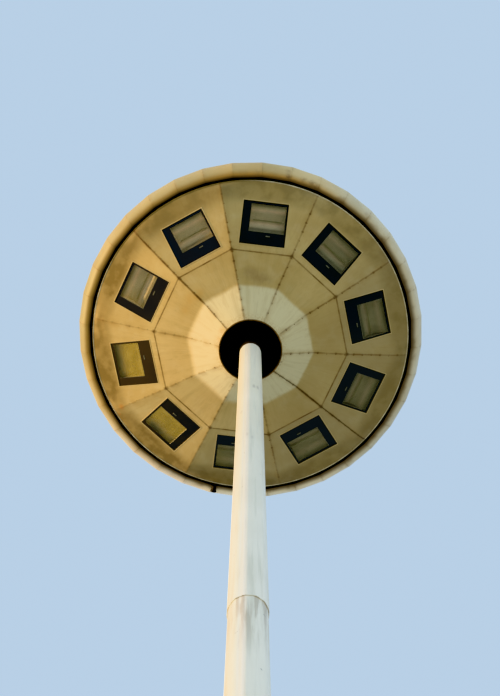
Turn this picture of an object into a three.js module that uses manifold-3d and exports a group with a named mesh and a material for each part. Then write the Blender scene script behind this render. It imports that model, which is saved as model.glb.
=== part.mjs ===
// High-mast floodlight tower: a tapered twelve-sided steel mast with a saucer-shaped head.
// The head's tray of ten bent panels and ten floodlights hangs from a carriage round the mast.
// The carriage docks under the canopy and is lowered along the mast for service.
// Millimetres, +Z up. The origin is the centre of the base plate's underside, at ground level.
import * as THREE from 'three';
import { mergeVertices } from 'three/addons/utils/BufferGeometryUtils.js';
import Module from 'manifold-3d';

const wasm = await Module();
wasm.setup();

// Common fits
const seatGap = 0.3;
const edgeLevel = 25000;

// Base plate
const base = { radius: 330, thickness: 30, sides: 36 };
const gusset = { count: 12, thickness: 12, reach: 72, height: 150, nose: 12 };

// Mast: corner radius at the height of the tray's edge, and its growth for each millimetre down
const mast = { sides: 12, cornerAzimuth: 20, tipRadius: 115.6, taper: 0.0051, wall: 6 };
const mastTop = edgeLevel + 250;
const lowerSection = { from: base.thickness + seatGap, to: 9000, nest: 2 };
const middleSection = { from: 8350, to: 17000, nest: 1 };
const upperSection = { from: 16400, to: mastTop, nest: 0 };

// Access door on the mast facet that looks to azimuth -85
const door = { azimuth: -85, bottom: 600, height: 800, width: 150, lap: 22, thickness: 8 };

// Tray: rings of the bent panels, measured down from the tray's edge
const sectors = 10;
const sectorAngle = 360 / sectors;
const seamAzimuth = 6.4;
const tray = { edgeRadius: 1750, rimRadius: 1066, foldRadius: 690, holeRadius: 345 };
const drop = { rim: 311, fold: 415, hole: 650 };
const sheet = { rise: 4, columns: 6, lip: 6, lipUp: 20, lipDown: 12, jointGap: 10 };
const bend = { flatEnd: 590, middle: 700, round: 0.4 };
const jointSeams = [1, 6];

// Floodlight opening on the tray's outer slope: its sides from the panel's middle line, and its
// ends from the rim fold up the slope. The mask narrows it, most on the hub side and one flank.
const opening = { left: -259, right: 238, from: 79, to: 564 };
const mask = { hubSide: 149, flank: 93, edge: 21, outer: 31, overlap: 18, thickness: 4 };
const housing = { wall: 3, depth: 175, margin: 11, side: 46 };
const reflector = { depth: 115, thickness: 2, steps: 10, endGap: 8 };

// Carriage frame
const ring = { apothem: 460, depth: 56, height: 60, wall: 6, level: -330, sides: 20 };
const sleeve = { radius: 344.6, wall: 4, below: 6, flangeRadius: 450, sides: 60, quarters: 4 };
const arm = { count: 5, thickness: 10, shelf: -208, shelfEnd: 720, tipReach: 1610, lift: 1 };
const armDepth = { root: 5, rim: 27, tip: 30 };
const pad = { reach: 640, size: 90, thickness: 10, level: -200 };

// Canopy: 36 facets, with the rounded rim given as its outer outline from the lip upwards
const canopy = { facets: 36, cornerAzimuth: 3.5, segments: 4, wall: 4, cap: 150, capRadius: 185 };
const rimOutline = [
  [1788, 6], [1832, 12], [1870, 42], [1898, 94], [1914, 167],
  [1911, 237], [1889, 305], [1855, 343], [1765, 343],
];
const roofOutline = [[1871, 349], [1500, 437], [850, 535], [canopy.cap, 587]];
const roofSeat = { wall: 4, width: 40 };

// Head frame that carries the canopy and docks the carriage
const frame = { plateRadius: 190, plateThickness: 22, armThickness: 12, armReach: 1838 };
const shoe = { width: 70, thickness: 8, from: 1690 };
const dockPost = { radius: 20, sides: 12 };
const spigotRadius = 70;

// Small fitting that lies under the rim's lip and looks outwards, with a saddle on the lip
const photocell = { azimuth: 102.7, reach: 1782, neckRadius: 27, mouthRadius: 35, length: 66 };
const saddle = { inner: 5, outer: 46, width: 34, rise: 2 };

const radians = THREE.MathUtils.degToRad;
const rimMiddle = tray.rimRadius * Math.cos(radians(sectorAngle / 2));
const slope = Math.atan2(drop.rim, tray.edgeRadius - rimMiddle);
const foldMiddle = tray.foldRadius * Math.cos(radians(sectorAngle / 2));
const sheetThickness = sheet.rise * Math.cos(slope);
const halfRise = (opening.to - opening.from) / 2;

function paint(color, roughness, metalness) {
  return new THREE.MeshStandardMaterial({ color, roughness, metalness });
}

const mastPaint = paint(0xe6e4da, 0.45, 0.1);
const trayPaint = paint(0xcdb888, 0.6, 0.0);
const canopyPaint = paint(0xd8c79c, 0.6, 0.0);
const frameSteel = paint(0x8a8d8c, 0.5, 0.8);
const blackPaint = paint(0x0c1016, 0.5, 0.1);
const lampGlass = paint(0x6a6850, 0.08, 0.0);
const blackPlastic = paint(0x141414, 0.6, 0.0);

// Turns a closed three.js geometry into a solid, facing outwards.
function solid(geometry) {
  const bare = (geometry.index ? geometry.toNonIndexed() : geometry).clone();
  bare.deleteAttribute('normal');
  bare.deleteAttribute('uv');
  const merged = mergeVertices(bare, 1e-3);
  const corners = merged.attributes.position;
  const triangles = [];
  const a = new THREE.Vector3();
  const b = new THREE.Vector3();
  const c = new THREE.Vector3();
  let volume = 0;
  for (let i = 0; i < merged.index.count; i += 3) {
    const [p, q, r] = [0, 1, 2].map((k) => merged.index.getX(i + k));
    if (p === q || q === r || r === p) continue;
    triangles.push([p, q, r]);
    a.fromBufferAttribute(corners, p);
    b.fromBufferAttribute(corners, q);
    c.fromBufferAttribute(corners, r);
    volume += a.dot(b.cross(c));
  }
  const outward = volume < 0 ? triangles.map(([p, q, r]) => [p, r, q]) : triangles;
  return new wasm.Manifold(new wasm.Mesh({
    numProp: 3,
    vertProperties: Float32Array.from(corners.array),
    triVerts: Uint32Array.from(outward.flat()),
  }));
}

// Turns a solid back into a three.js geometry with flat facets.
function shape(body) {
  const { vertProperties, triVerts } = body.getMesh();
  const geometry = new THREE.BufferGeometry();
  geometry.setAttribute('position', new THREE.BufferAttribute(vertProperties, 3));
  geometry.setIndex(new THREE.BufferAttribute(triVerts, 1));
  return geometry;
}

// A body turned round +Z from a closed outline of [radius, height], with its corners at an azimuth.
function turned(outline, sides, cornerAzimuth) {
  const points = [...outline, outline[0]].map(([r, z]) => new THREE.Vector2(r, z));
  const lathe = new THREE.LatheGeometry(points, sides, radians(cornerAzimuth + 90));
  return solid(lathe.rotateX(Math.PI / 2));
}

// A block given by its low and high corners.
function block(low, high) {
  const size = high.map((value, i) => value - low[i]);
  const box = new THREE.BoxGeometry(...size);
  return solid(box.translate(...low.map((value, i) => value + size[i] / 2)));
}

// A plate upright along a radius: an outline of [radius, height] with a thickness across.
function uprightPlate(outline, thickness) {
  const side = new THREE.Shape(outline.map(([r, z]) => new THREE.Vector2(r, z)));
  const plate = new THREE.ExtrudeGeometry(side, { depth: thickness, bevelEnabled: false });
  return solid(plate.rotateX(Math.PI / 2).translate(0, thickness / 2, 0));
}

// Sweeps a closed outline round +Z through a fan of angles. The outline runs anticlockwise, and
// each point has a radius at angle 0, a height and a roundness: 0 gives a straight side across
// the fan, 1 an arc. The ends stand back from the end planes by half of their gaps.
function fan(outline, angles, endGaps) {
  const last = angles.length - 1;
  const positions = [];
  const reach = ({ r, round }, angle) => r * ((1 - round) / Math.cos(angle) + round);
  const at = (corner, column) => {
    const angle = radians(angles[column]);
    const r = reach(corner, angle);
    const point = new THREE.Vector3(r * Math.cos(angle), r * Math.sin(angle), corner.z);
    const inward = column === 0 ? endGaps[0] / 2 : column === last ? -endGaps[1] / 2 : 0;
    return point.add(new THREE.Vector3(-Math.sin(angle), Math.cos(angle), 0).multiplyScalar(inward));
  };
  const add = (...points) => points.forEach((p) => positions.push(p.x, p.y, p.z));
  for (let column = 0; column < last; column += 1) {
    outline.forEach((point, i) => {
      const next = outline[(i + 1) % outline.length];
      const [a, b] = [at(point, column), at(next, column)];
      const [c, d] = [at(next, column + 1), at(point, column + 1)];
      add(a, b, c, a, c, d);
    });
  }
  [0, last].forEach((column) => {
    const angle = radians(angles[column]);
    const flat = outline.map((corner) => new THREE.Vector2(reach(corner, angle), corner.z));
    THREE.ShapeUtils.triangulateShape(flat, []).forEach(([p, q, r]) => {
      const [a, b, c] = [p, q, r].map((i) => at(outline[i], column));
      if (column === 0) add(a, c, b);
      else add(a, b, c);
    });
  });
  const geometry = new THREE.BufferGeometry();
  geometry.setAttribute('position', new THREE.Float32BufferAttribute(positions, 3));
  return solid(geometry);
}

// Corner radius of a mast section's outer face; deeper nested sections are smaller.
function mastRadius(z, nest) {
  const step = (mast.wall + seatGap) / Math.cos(Math.PI / mast.sides);
  return mast.tipRadius + mast.taper * (edgeLevel - z) - nest * step;
}

const toApothem = Math.cos(Math.PI / mast.sides);

function mastSection({ from, to, nest }) {
  const inset = mast.wall / toApothem;
  return turned([
    [mastRadius(from, nest), from],
    [mastRadius(to, nest), to],
    [mastRadius(to, nest) - inset, to],
    [mastRadius(from, nest) - inset, from],
  ], mast.sides, mast.cornerAzimuth);
}

function baseFlange() {
  const top = base.thickness;
  let body = turned([[0, 0], [base.radius, 0], [base.radius, top], [0, top]], base.sides, 0);
  const foot = mastRadius(top, lowerSection.nest) * toApothem + seatGap;
  const head = mastRadius(top + gusset.height, lowerSection.nest) * toApothem + seatGap;
  const rib = uprightPlate([
    [foot, top - 1], [foot + gusset.reach, top - 1], [foot + gusset.reach, top + gusset.nose],
    [head + gusset.nose, top + gusset.height], [head, top + gusset.height], [foot, top],
  ], gusset.thickness);
  for (let i = 0; i < gusset.count; i += 1) {
    const azimuth = mast.cornerAzimuth + 180 / mast.sides + i * (360 / gusset.count);
    body = body.add(rib.rotate([0, 0, azimuth]));
  }
  return body;
}

function lowerMast() {
  const reach = mastRadius(door.bottom, lowerSection.nest);
  const cut = block(
    [reach - 60, -door.width / 2 + door.lap, door.bottom + door.lap],
    [reach + 60, door.width / 2 - door.lap, door.bottom + door.height - door.lap],
  );
  return mastSection(lowerSection).subtract(cut.rotate([0, 0, door.azimuth]));
}

// The cover lies on the mast's facet, which leans in by the taper.
function accessDoor() {
  const inner = (z) => mastRadius(z, lowerSection.nest) * toApothem + seatGap;
  const [low, high] = [door.bottom, door.bottom + door.height];
  const side = [
    [inner(low), low], [inner(low) + door.thickness, low],
    [inner(high) + door.thickness, high], [inner(high), high],
  ];
  return uprightPlate(side, door.width).rotate([0, 0, door.azimuth]);
}

// Bent sheet between two seams, with a turned lip at its edge and the floodlight's opening cut.
function trayPanel(gaps) {
  const up = (s) => edgeLevel - drop.rim + s * Math.sin(slope);
  const out = (s) => rimMiddle + s * Math.cos(slope);
  const lipInner = tray.edgeRadius - sheet.lip;
  const under = [
    { r: tray.holeRadius, z: edgeLevel - drop.hole, round: 1 },
    { r: foldMiddle, z: edgeLevel - drop.fold, round: 0 },
    { r: rimMiddle, z: edgeLevel - drop.rim, round: 0 },
    { r: out(bend.flatEnd), z: up(bend.flatEnd), round: 0 },
    { r: out(bend.middle), z: up(bend.middle), round: bend.round },
    { r: lipInner, z: edgeLevel - sheet.lip * Math.tan(slope), round: 1 },
  ];
  const lip = [
    { r: lipInner, z: edgeLevel - sheet.lipDown, round: 1 },
    { r: tray.edgeRadius, z: edgeLevel - sheet.lipDown, round: 1 },
    { r: tray.edgeRadius, z: edgeLevel + sheet.lipUp, round: 1 },
    { r: lipInner, z: edgeLevel + sheet.lipUp, round: 1 },
  ];
  const over = under.map(({ r, z, round }) => ({ r, z: z + sheet.rise, round })).reverse();
  const angles = Array.from({ length: sheet.columns + 1 },
    (_, i) => sectorAngle * (i / sheet.columns - 0.5));
  const panel = fan([...under, ...lip, ...over], angles, gaps);
  const cut = block([opening.left, -halfRise, -60], [opening.right, halfRise, 60]);
  return panel.subtract(cut.transform(openingPlace().elements));
}

// Place of the opening: X along the tray's rim, Y up its slope, Z out of its lower face.
function openingPlace() {
  const middle = (opening.from + opening.to) / 2;
  const place = new THREE.Matrix4().makeBasis(
    new THREE.Vector3(0, 1, 0),
    new THREE.Vector3(Math.cos(slope), 0, Math.sin(slope)),
    new THREE.Vector3(Math.sin(slope), 0, -Math.cos(slope)),
  );
  return place.setPosition(
    rimMiddle + middle * Math.cos(slope), 0, edgeLevel - drop.rim + middle * Math.sin(slope),
  );
}

// The floodlight's window in its mask, beside the wide flank and the wide hub side.
const pane = {
  left: opening.left + mask.flank, right: opening.right - mask.edge,
  bottom: -halfRise + mask.hubSide, top: halfRise - mask.outer,
};
const maskFace = -sheetThickness - seatGap;
const maskBack = maskFace - mask.thickness;

function floodlight() {
  const plate = block(
    [opening.left - mask.overlap, -halfRise - mask.overlap, maskBack],
    [opening.right + mask.overlap, halfRise + mask.overlap, maskFace],
  );
  const window = block([pane.left, pane.bottom, maskBack - 1], [pane.right, pane.top, maskFace + 1]);
  const low = [pane.left - housing.side, pane.bottom - housing.side, -housing.depth];
  const high = [pane.right + housing.margin, pane.top + housing.margin, maskBack + 1];
  const hollow = block(
    [low[0] + housing.wall, low[1] + housing.wall, low[2] + housing.wall],
    [high[0] - housing.wall, high[1] - housing.wall, high[2] - 1],
  );
  const shell = block(low, high).subtract(hollow);
  return shell.add(plate).subtract(window).add(trough());
}

// The reflector: a trough across the window, joined to the mask's back above and below it.
function trough() {
  const middle = (pane.bottom + pane.top) / 2;
  const reach = (pane.top - pane.bottom) / 2 + reflector.thickness;
  const arc = (grow) => Array.from({ length: reflector.steps + 1 }, (_, i) => {
    const t = 2 * i / reflector.steps - 1;
    const depth = (reflector.depth + grow) * (1 - t * t);
    return new THREE.Vector2(middle + t * (reach + grow), maskBack + 0.5 - depth);
  });
  const section = new THREE.Shape([...arc(0), ...arc(reflector.thickness).reverse()]);
  const length = pane.right - pane.left;
  const bar = new THREE.ExtrudeGeometry(section, { depth: length, bevelEnabled: false });
  const along = new THREE.Matrix4().makeBasis(
    new THREE.Vector3(0, 1, 0), new THREE.Vector3(0, 0, 1), new THREE.Vector3(1, 0, 0),
  );
  return solid(bar.applyMatrix4(along).translate(pane.left - reflector.endGap, 0, 0));
}

function floodlightGlass() {
  const gap = seatGap;
  return block(
    [pane.left + gap, pane.bottom + gap, maskBack],
    [pane.right - gap, pane.top - gap, maskFace],
  );
}

// Channel ring, open to the mast, with flat facets where the arms meet it.
function carriageRing() {
  const toCorner = 1 / Math.cos(Math.PI / ring.sides);
  const low = edgeLevel + ring.level;
  const outline = [
    [0, 0], [0, ring.height], [ring.depth, ring.height], [ring.depth, ring.height - ring.wall],
    [ring.wall, ring.height - ring.wall], [ring.wall, ring.wall],
    [ring.depth, ring.wall], [ring.depth, 0],
  ];
  const corners = outline.map(([inset, z]) => [(ring.apothem - inset) * toCorner, low + z]);
  return turned(corners, ring.sides, seamAzimuth + 180 / ring.sides);
}

// A quarter of the tube that lines the hub hole, hung by its flange under the ring.
function hubSleeve() {
  const foot = edgeLevel - drop.hole - sleeve.below;
  const top = edgeLevel + ring.level - seatGap;
  const outline = [
    [sleeve.radius, foot], [sleeve.radius, top - sleeve.wall],
    [sleeve.flangeRadius, top - sleeve.wall], [sleeve.flangeRadius, top],
    [sleeve.radius - sleeve.wall, top], [sleeve.radius - sleeve.wall, foot],
  ].map(([r, z]) => ({ r, z, round: 1 }));
  const count = sleeve.sides / sleeve.quarters;
  const angles = Array.from({ length: count + 1 }, (_, i) => i * (360 / sleeve.sides));
  return fan(outline, angles, [seatGap, seatGap]);
}

// Plate arm that runs down the tray's seam, with a docking pad on its shelf.
function carriageArm() {
  const lift = sheet.rise + arm.lift;
  const seam = (from, to, r) => {
    const t = (r - from[0]) / (to[0] - from[0]);
    return [r, edgeLevel + from[1] + t * (to[1] - from[1]) + lift];
  };
  const fold = [tray.foldRadius, -drop.fold];
  const rim = [tray.rimRadius, -drop.rim];
  const run = bend.flatEnd * Math.cos(slope) / Math.cos(radians(sectorAngle / 2));
  const outer = [rim[0] + run, rim[1] + bend.flatEnd * Math.sin(slope)];
  const root = ring.apothem + seatGap;
  const tip = seam(rim, outer, arm.tipReach);
  const plate = uprightPlate([
    [root, edgeLevel + ring.level - armDepth.root], seam(fold, rim, fold[0]), seam(fold, rim, rim[0]), tip,
    [tip[0], tip[1] + armDepth.tip], [rim[0], edgeLevel + arm.shelf - armDepth.rim],
    [arm.shelfEnd, edgeLevel + arm.shelf], [root, edgeLevel + arm.shelf],
  ], arm.thickness);
  const top = edgeLevel + pad.level;
  const dock = block(
    [pad.reach - pad.size / 2, -pad.size / 2, top - pad.thickness],
    [pad.reach + pad.size / 2, pad.size / 2, top],
  );
  return plate.add(dock);
}

// Plate on the mast's top with five arms, docking posts and a spigot for the roof's cap.
function headFrame() {
  const low = mastTop + seatGap;
  const armLow = low + frame.plateThickness - 1;
  const armTop = edgeLevel + rimOutline.at(-1)[1] - canopy.wall - seatGap;
  const top = edgeLevel + roofOutline.at(-1)[1] - seatGap;
  const high = low + frame.plateThickness;
  let body = turned([
    [0, low], [frame.plateRadius, low], [frame.plateRadius, high],
    [spigotRadius, high], [spigotRadius, top], [0, top],
  ], base.sides, seamAzimuth);
  const halfArm = frame.armThickness / 2;
  const beam = block([0, -halfArm, armLow], [frame.armReach, halfArm, armTop]);
  const foot = block(
    [shoe.from, -shoe.width / 2, armTop - shoe.thickness],
    [frame.armReach, shoe.width / 2, armTop],
  );
  const bottom = edgeLevel + pad.level + seatGap;
  const post = turned(
    [[0, bottom], [dockPost.radius, bottom], [dockPost.radius, armTop - 10], [0, armTop - 10]],
    dockPost.sides, 0,
  ).translate([pad.reach, 0, 0]);
  const radial = beam.add(foot).add(post);
  for (let i = 0; i < arm.count; i += 1) {
    body = body.add(radial.rotate([0, 0, seamAzimuth + i * (360 / arm.count)]));
  }
  return body;
}

// One length of the rounded rim: a shell of constant wall with a flange under the roof.
function canopyRim() {
  const outer = rimOutline.map(([r, z]) => new THREE.Vector2(r, z));
  const inner = outer.map((point, i) => {
    const before = outer[Math.max(i - 1, 0)];
    const after = outer[Math.min(i + 1, outer.length - 1)];
    const along = after.clone().sub(before).normalize();
    return point.clone().add(new THREE.Vector2(-along.y, along.x).multiplyScalar(canopy.wall));
  });
  const count = canopy.facets / canopy.segments;
  const angles = Array.from({ length: count + 1 }, (_, i) => i * (360 / canopy.facets));
  const outline = [...outer, ...inner.reverse()].map(({ x, y }) => ({ r: x, z: edgeLevel + y, round: 1 }));
  return fan(outline, angles, [seatGap, seatGap]);
}

function canopyRoof() {
  const seat = rimOutline.at(-1)[1] + seatGap;
  const [eave, ...rest] = roofOutline;
  const pitch = (rest[0][1] - eave[1]) / (eave[0] - rest[0][0]);
  const inner = rest.map(([r, z]) => [r, z - roofSeat.wall]).reverse();
  const seatInner = eave[0] - roofSeat.width;
  const underEave = [seatInner, eave[1] + roofSeat.width * pitch - roofSeat.wall];
  return turned([
    [eave[0], seat], eave, ...rest, ...inner, underEave, [seatInner, seat],
  ].map(([r, z]) => [r, edgeLevel + z]), canopy.facets, canopy.cornerAzimuth);
}

// Low domed cap over the hole in the roof's middle.
function roofCap() {
  const seat = edgeLevel + roofOutline.at(-1)[1] + seatGap;
  const r = canopy.capRadius;
  const dome = [[r, 0], [r, 8], [0.94 * r, 26], [0.7 * r, 40], [0.4 * r, 48], [0, 51]];
  return turned([[0, seat], ...dome.map(([x, z]) => [x, seat + z])], canopy.facets, canopy.cornerAzimuth);
}

// A round body with its axis level along the radius: a neck that flares to a mouth.
function photocellBody() {
  const top = edgeLevel + rimOutline[0][1] - seatGap;
  const { reach, neckRadius, mouthRadius, length } = photocell;
  const axis = top - saddle.rise - neckRadius;
  const barrel = turned([
    [0, 0], [neckRadius, 0], [neckRadius, 0.5 * length], [mouthRadius, 0.78 * length],
    [mouthRadius, 0.92 * length], [0.8 * mouthRadius, length], [0, length],
  ], 20, 0).rotate([0, 90, 0]).translate([reach, 0, axis]);
  const seat = block(
    [reach + saddle.inner, -saddle.width / 2, axis],
    [reach + saddle.outer, saddle.width / 2, top],
  );
  return barrel.add(seat).rotate([0, 0, photocell.azimuth]);
}

const group = new THREE.Group();

// Adds a named piece, turned about the mast's axis to its azimuth.
function piece(name, body, material, azimuth = 0) {
  const mesh = new THREE.Mesh(shape(body), material);
  mesh.name = name;
  mesh.rotation.z = radians(azimuth);
  group.add(mesh);
  return mesh;
}

piece('base_flange', baseFlange(), frameSteel);
piece('mast_lower', lowerMast(), mastPaint);
piece('mast_middle', mastSection(middleSection), mastPaint);
piece('mast_upper', mastSection(upperSection), mastPaint);
piece('access_door', accessDoor(), mastPaint);
piece('head_frame', headFrame(), blackPaint);
piece('canopy_roof', canopyRoof(), canopyPaint);
piece('roof_cap', roofCap(), canopyPaint);
piece('photocell', photocellBody(), blackPlastic);

const rimLength = canopyRim();
for (let i = 0; i < canopy.segments; i += 1) {
  const azimuth = canopy.cornerAzimuth + i * (360 / canopy.segments);
  piece(`canopy_rim_${i + 1}`, rimLength, canopyPaint, azimuth);
}

piece('carriage_ring', carriageRing(), blackPaint);

const sleeveQuarter = hubSleeve();
for (let i = 0; i < sleeve.quarters; i += 1) {
  const azimuth = seamAzimuth + i * (360 / sleeve.quarters);
  piece(`hub_sleeve_${i + 1}`, sleeveQuarter, blackPaint, azimuth);
}

const armPlate = carriageArm();
for (let i = 0; i < arm.count; i += 1) {
  piece(`carriage_arm_${i + 1}`, armPlate, blackPaint, seamAzimuth + i * (360 / arm.count));
}

const lightBody = floodlight();
const lightGlass = floodlightGlass();
for (let i = 0; i < sectors; i += 1) {
  const number = String(i + 1).padStart(2, '0');
  const azimuth = seamAzimuth + (i + 0.5) * sectorAngle;
  const gaps = [i, (i + 1) % sectors].map((seam) => (jointSeams.includes(seam) ? sheet.jointGap : seatGap));
  piece(`tray_panel_${number}`, trayPanel(gaps), trayPaint, azimuth);

  const sector = new THREE.Group();
  sector.rotation.z = radians(azimuth);
  const place = new THREE.Group();
  openingPlace().decompose(place.position, place.quaternion, place.scale);
  sector.add(place);
  group.add(sector);
  const light = new THREE.Mesh(shape(lightBody), blackPaint);
  light.name = `floodlight_${number}`;
  const glass = new THREE.Mesh(shape(lightGlass), lampGlass);
  glass.name = `floodlight_glass_${number}`;
  place.add(light, glass);
}

export default group;
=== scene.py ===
# High-mast floodlight tower: a tapered steel mast with a head of ten floodlights, in metres.
import math

import bmesh
import bpy
from mathutils import Matrix, Vector


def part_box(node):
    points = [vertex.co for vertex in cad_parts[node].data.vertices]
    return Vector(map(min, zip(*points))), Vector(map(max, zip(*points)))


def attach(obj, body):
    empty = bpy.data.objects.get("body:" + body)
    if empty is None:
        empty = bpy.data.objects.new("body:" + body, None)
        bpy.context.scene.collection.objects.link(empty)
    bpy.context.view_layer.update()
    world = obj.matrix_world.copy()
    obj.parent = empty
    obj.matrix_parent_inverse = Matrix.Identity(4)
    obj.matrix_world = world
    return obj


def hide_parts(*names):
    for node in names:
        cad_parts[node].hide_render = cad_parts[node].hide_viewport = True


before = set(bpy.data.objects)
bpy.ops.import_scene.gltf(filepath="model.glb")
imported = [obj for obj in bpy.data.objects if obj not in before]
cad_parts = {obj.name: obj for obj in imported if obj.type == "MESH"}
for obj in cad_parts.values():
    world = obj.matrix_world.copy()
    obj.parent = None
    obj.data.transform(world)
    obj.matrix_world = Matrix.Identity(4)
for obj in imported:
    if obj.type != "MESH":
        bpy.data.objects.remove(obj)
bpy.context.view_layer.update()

# Foot of the mast
# A round plate of 30 mm steel with twelve gussets, welded to the mast and galvanised.
# Anchor bolts from the foundation hold it down, each with a washer and a hexagon nut.
plate_top = 0.030
first_anchor = 20.0
washer_share = 0.18
usual_sharpness = 32.0
merge_distance = 1e-5
level_faces = math.radians(0.6)


def add_node(tree, kind, inputs=None, **settings):
    """Adds a node, sets its options and joins or sets its inputs."""
    made = tree.nodes.new(kind)
    for name, value in settings.items():
        setattr(made, name, value)
    for name, value in (inputs or {}).items():
        value = getattr(value, "socket", value)
        if isinstance(value, bpy.types.NodeSocket):
            tree.links.new(value, made.inputs[name])
        else:
            made.inputs[name].default_value = value
    return made


class Value:
    """A number or colour that a finish works out at each point of a surface."""

    def __init__(self, finish, socket):
        self.finish, self.socket = finish, socket

    def __add__(self, other):
        return self.finish.math("ADD", self, other)

    def __sub__(self, other):
        return self.finish.math("SUBTRACT", self, other)

    def __mul__(self, other):
        return self.finish.math("MULTIPLY", self, other)

    def __truediv__(self, other):
        return self.finish.math("DIVIDE", self, other)

    def __abs__(self):
        return self.finish.math("ABSOLUTE", self)

    def scaled(self, factor, plus):
        """The value times a factor, plus a second one."""
        return self.finish.math("MULTIPLY_ADD", self, factor, plus)

    def fade(self, low, high):
        """0 at low, 1 at high, with a soft step between them."""
        inputs = {0: self, 1: low, 2: high}
        return self.finish.value("MapRange", inputs, interpolation_type="SMOOTHSTEP")


class Finish:
    """A surface finish on the piece's own coordinates; its colour is laid on in layers."""

    def __init__(self, name, roughness, metallic=0.0):
        self.material = bpy.data.materials.new(name)
        self.material.use_nodes = True
        self.tree = self.material.node_tree
        self.shader = self.tree.nodes["Principled BSDF"]
        self.give("Roughness", roughness)
        self.give("Metallic", metallic)
        self.place = self.value("TexCoord", output="Object")

    def give(self, name, value):
        """Joins a value to the shader, or sets a plain number on it."""
        if isinstance(value, Value):
            self.tree.links.new(value.socket, self.shader.inputs[name])
        else:
            self.shader.inputs[name].default_value = value

    def value(self, kind, inputs=None, output=0, **settings):
        """What a new node works out."""
        return Value(self, add_node(self.tree, "ShaderNode" + kind, inputs, **settings).outputs[output])

    def math(self, operation, *values):
        return self.value("Math", dict(enumerate(values)), operation=operation)

    def parts(self, source=None):
        """The three parts of a place; a point's own place gives its X, Y and Z."""
        split = add_node(self.tree, "ShaderNodeSeparateXYZ", {0: source or self.place})
        return [Value(self, output) for output in split.outputs]

    def noise(self, scale, detail=4.0, stretch=(1, 1, 1), place=None):
        """Cloudy values from 0 to 1; stretch squeezes them along each axis."""
        spot = self.value("Mapping", {"Vector": place or self.place, "Scale": stretch})
        return self.value("TexNoise", {"Vector": spot, "Scale": scale, "Detail": detail})

    def mix(self, share, first, second, how="MIX"):
        """The first colour, or the second one where the share is 1."""
        colours = [c if isinstance(c, Value) else (*c, 1.0) for c in (first, second)]
        inputs = {0: share, 6: colours[0], 7: colours[1]}
        return self.value("Mix", inputs, 2, data_type="RGBA", blend_type=how)

    def layer(self, share, colour):
        """Lays a colour over what is there."""
        self.colour = self.mix(share, self.colour, colour)

    def tone(self, share, factor):
        """Multiplies what is there by a factor for each colour part."""
        self.layer(share, self.mix(1.0, self.colour, factor, "MULTIPLY"))

    def done(self, height=None, depth=0.0):
        """Gives the shader its colour, and a small relief whose height of 0 to 1 covers the depth."""
        self.give("Base Color", self.colour)
        if height:
            self.give("Normal", self.value("Bump", {"Height": height, "Distance": depth}))
        return self


def zinc_finish():
    """Hot-dip galvanising: pale and dark crystals, dull patches and brown freckles."""
    zinc = Finish("galvanised_steel", 0.48, 0.75)
    crystals = zinc.value("TexVoronoi", {"Vector": zinc.place, "Scale": 55.0}, "Color")
    patches = zinc.noise(6.0).fade(0.35, 0.7)
    freckles = zinc.noise(38.0, 6.0).fade(0.64, 0.74)
    zinc.colour = zinc.mix(crystals.fade(0.2, 0.8), (0.27, 0.28, 0.28), (0.40, 0.41, 0.41))
    zinc.layer(patches, (0.21, 0.215, 0.21))
    zinc.layer(freckles, (0.16, 0.10, 0.055))
    zinc.give("Roughness", patches.scaled(0.18, 0.42))
    return zinc.done(zinc.noise(240.0, 3.0), 0.0006)


def new_object(name, data):
    """An object at the origin, in the scene."""
    made = bpy.data.objects.new(name, data)
    bpy.context.scene.collection.objects.link(made)
    return made


def merged_shell(mesh):
    """The mesh ready for editing, with its double points merged."""
    shell = bmesh.new()
    shell.from_mesh(mesh)
    bmesh.ops.remove_doubles(shell, verts=shell.verts, dist=merge_distance)
    return shell


def edge_finish(piece, rounding, sharpness=usual_sharpness):
    """Eases the sharp edges of a piece and keeps its flat faces looking flat."""
    piece.data.shade_smooth()
    piece.data.set_sharp_from_angle(angle=math.radians(sharpness))
    if rounding:
        bevel = piece.modifiers.new("eased_edges", "BEVEL")
        bevel.width = rounding
        bevel.segments = 2
        bevel.limit_method = "ANGLE"
        bevel.angle_limit = math.radians(sharpness)
        bevel.harden_normals = False
    normals = piece.modifiers.new("flat_faces", "WEIGHTED_NORMAL")
    normals.keep_sharp = True


def settle(piece, body, stands_for):
    """Says what a finished piece moves with, and hides the solids that it stands for."""
    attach(piece, body)
    if stands_for:
        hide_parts(*stands_for)


def eased_copy(node, name, finish, rounding, body):
    """The solid of a node with its edges eased."""
    shell = merged_shell(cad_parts[node].data)
    bmesh.ops.dissolve_limit(shell, angle_limit=level_faces, verts=shell.verts, edges=shell.edges)
    mesh = bpy.data.meshes.new(name)
    shell.to_mesh(mesh)
    shell.free()
    mesh.materials.append(finish.material)
    piece = new_object(name, mesh)
    edge_finish(piece, rounding)
    settle(piece, body, [node])


def new_tree(name, **sizes):
    """A Geometry Nodes tree with a named input of its kind for each size."""
    tree = bpy.data.node_groups.new(name, "GeometryNodeTree")
    for way in ("INPUT", "OUTPUT"):
        tree.interface.new_socket("Geometry", in_out=way, socket_type="NodeSocketGeometry")
    for label, kind in sizes.items():
        tree.interface.new_socket(label, in_out="INPUT", socket_type="NodeSocket" + kind)
    return tree, add_node(tree, "NodeGroupInput").outputs


def made_by(tree, kind, inputs=None, **settings):
    """The first output of a new geometry node."""
    return add_node(tree, "GeometryNode" + kind, inputs, **settings).outputs[0]


def reckoned(tree, operation, *values):
    """A size worked out from others."""
    return add_node(tree, "ShaderNodeMath", dict(enumerate(values)), operation=operation).outputs[0]


def along_z(tree, amount):
    """A vector along Z, to raise something or to turn it."""
    return add_node(tree, "ShaderNodeCombineXYZ", {"Z": amount}).outputs[0]


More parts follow.
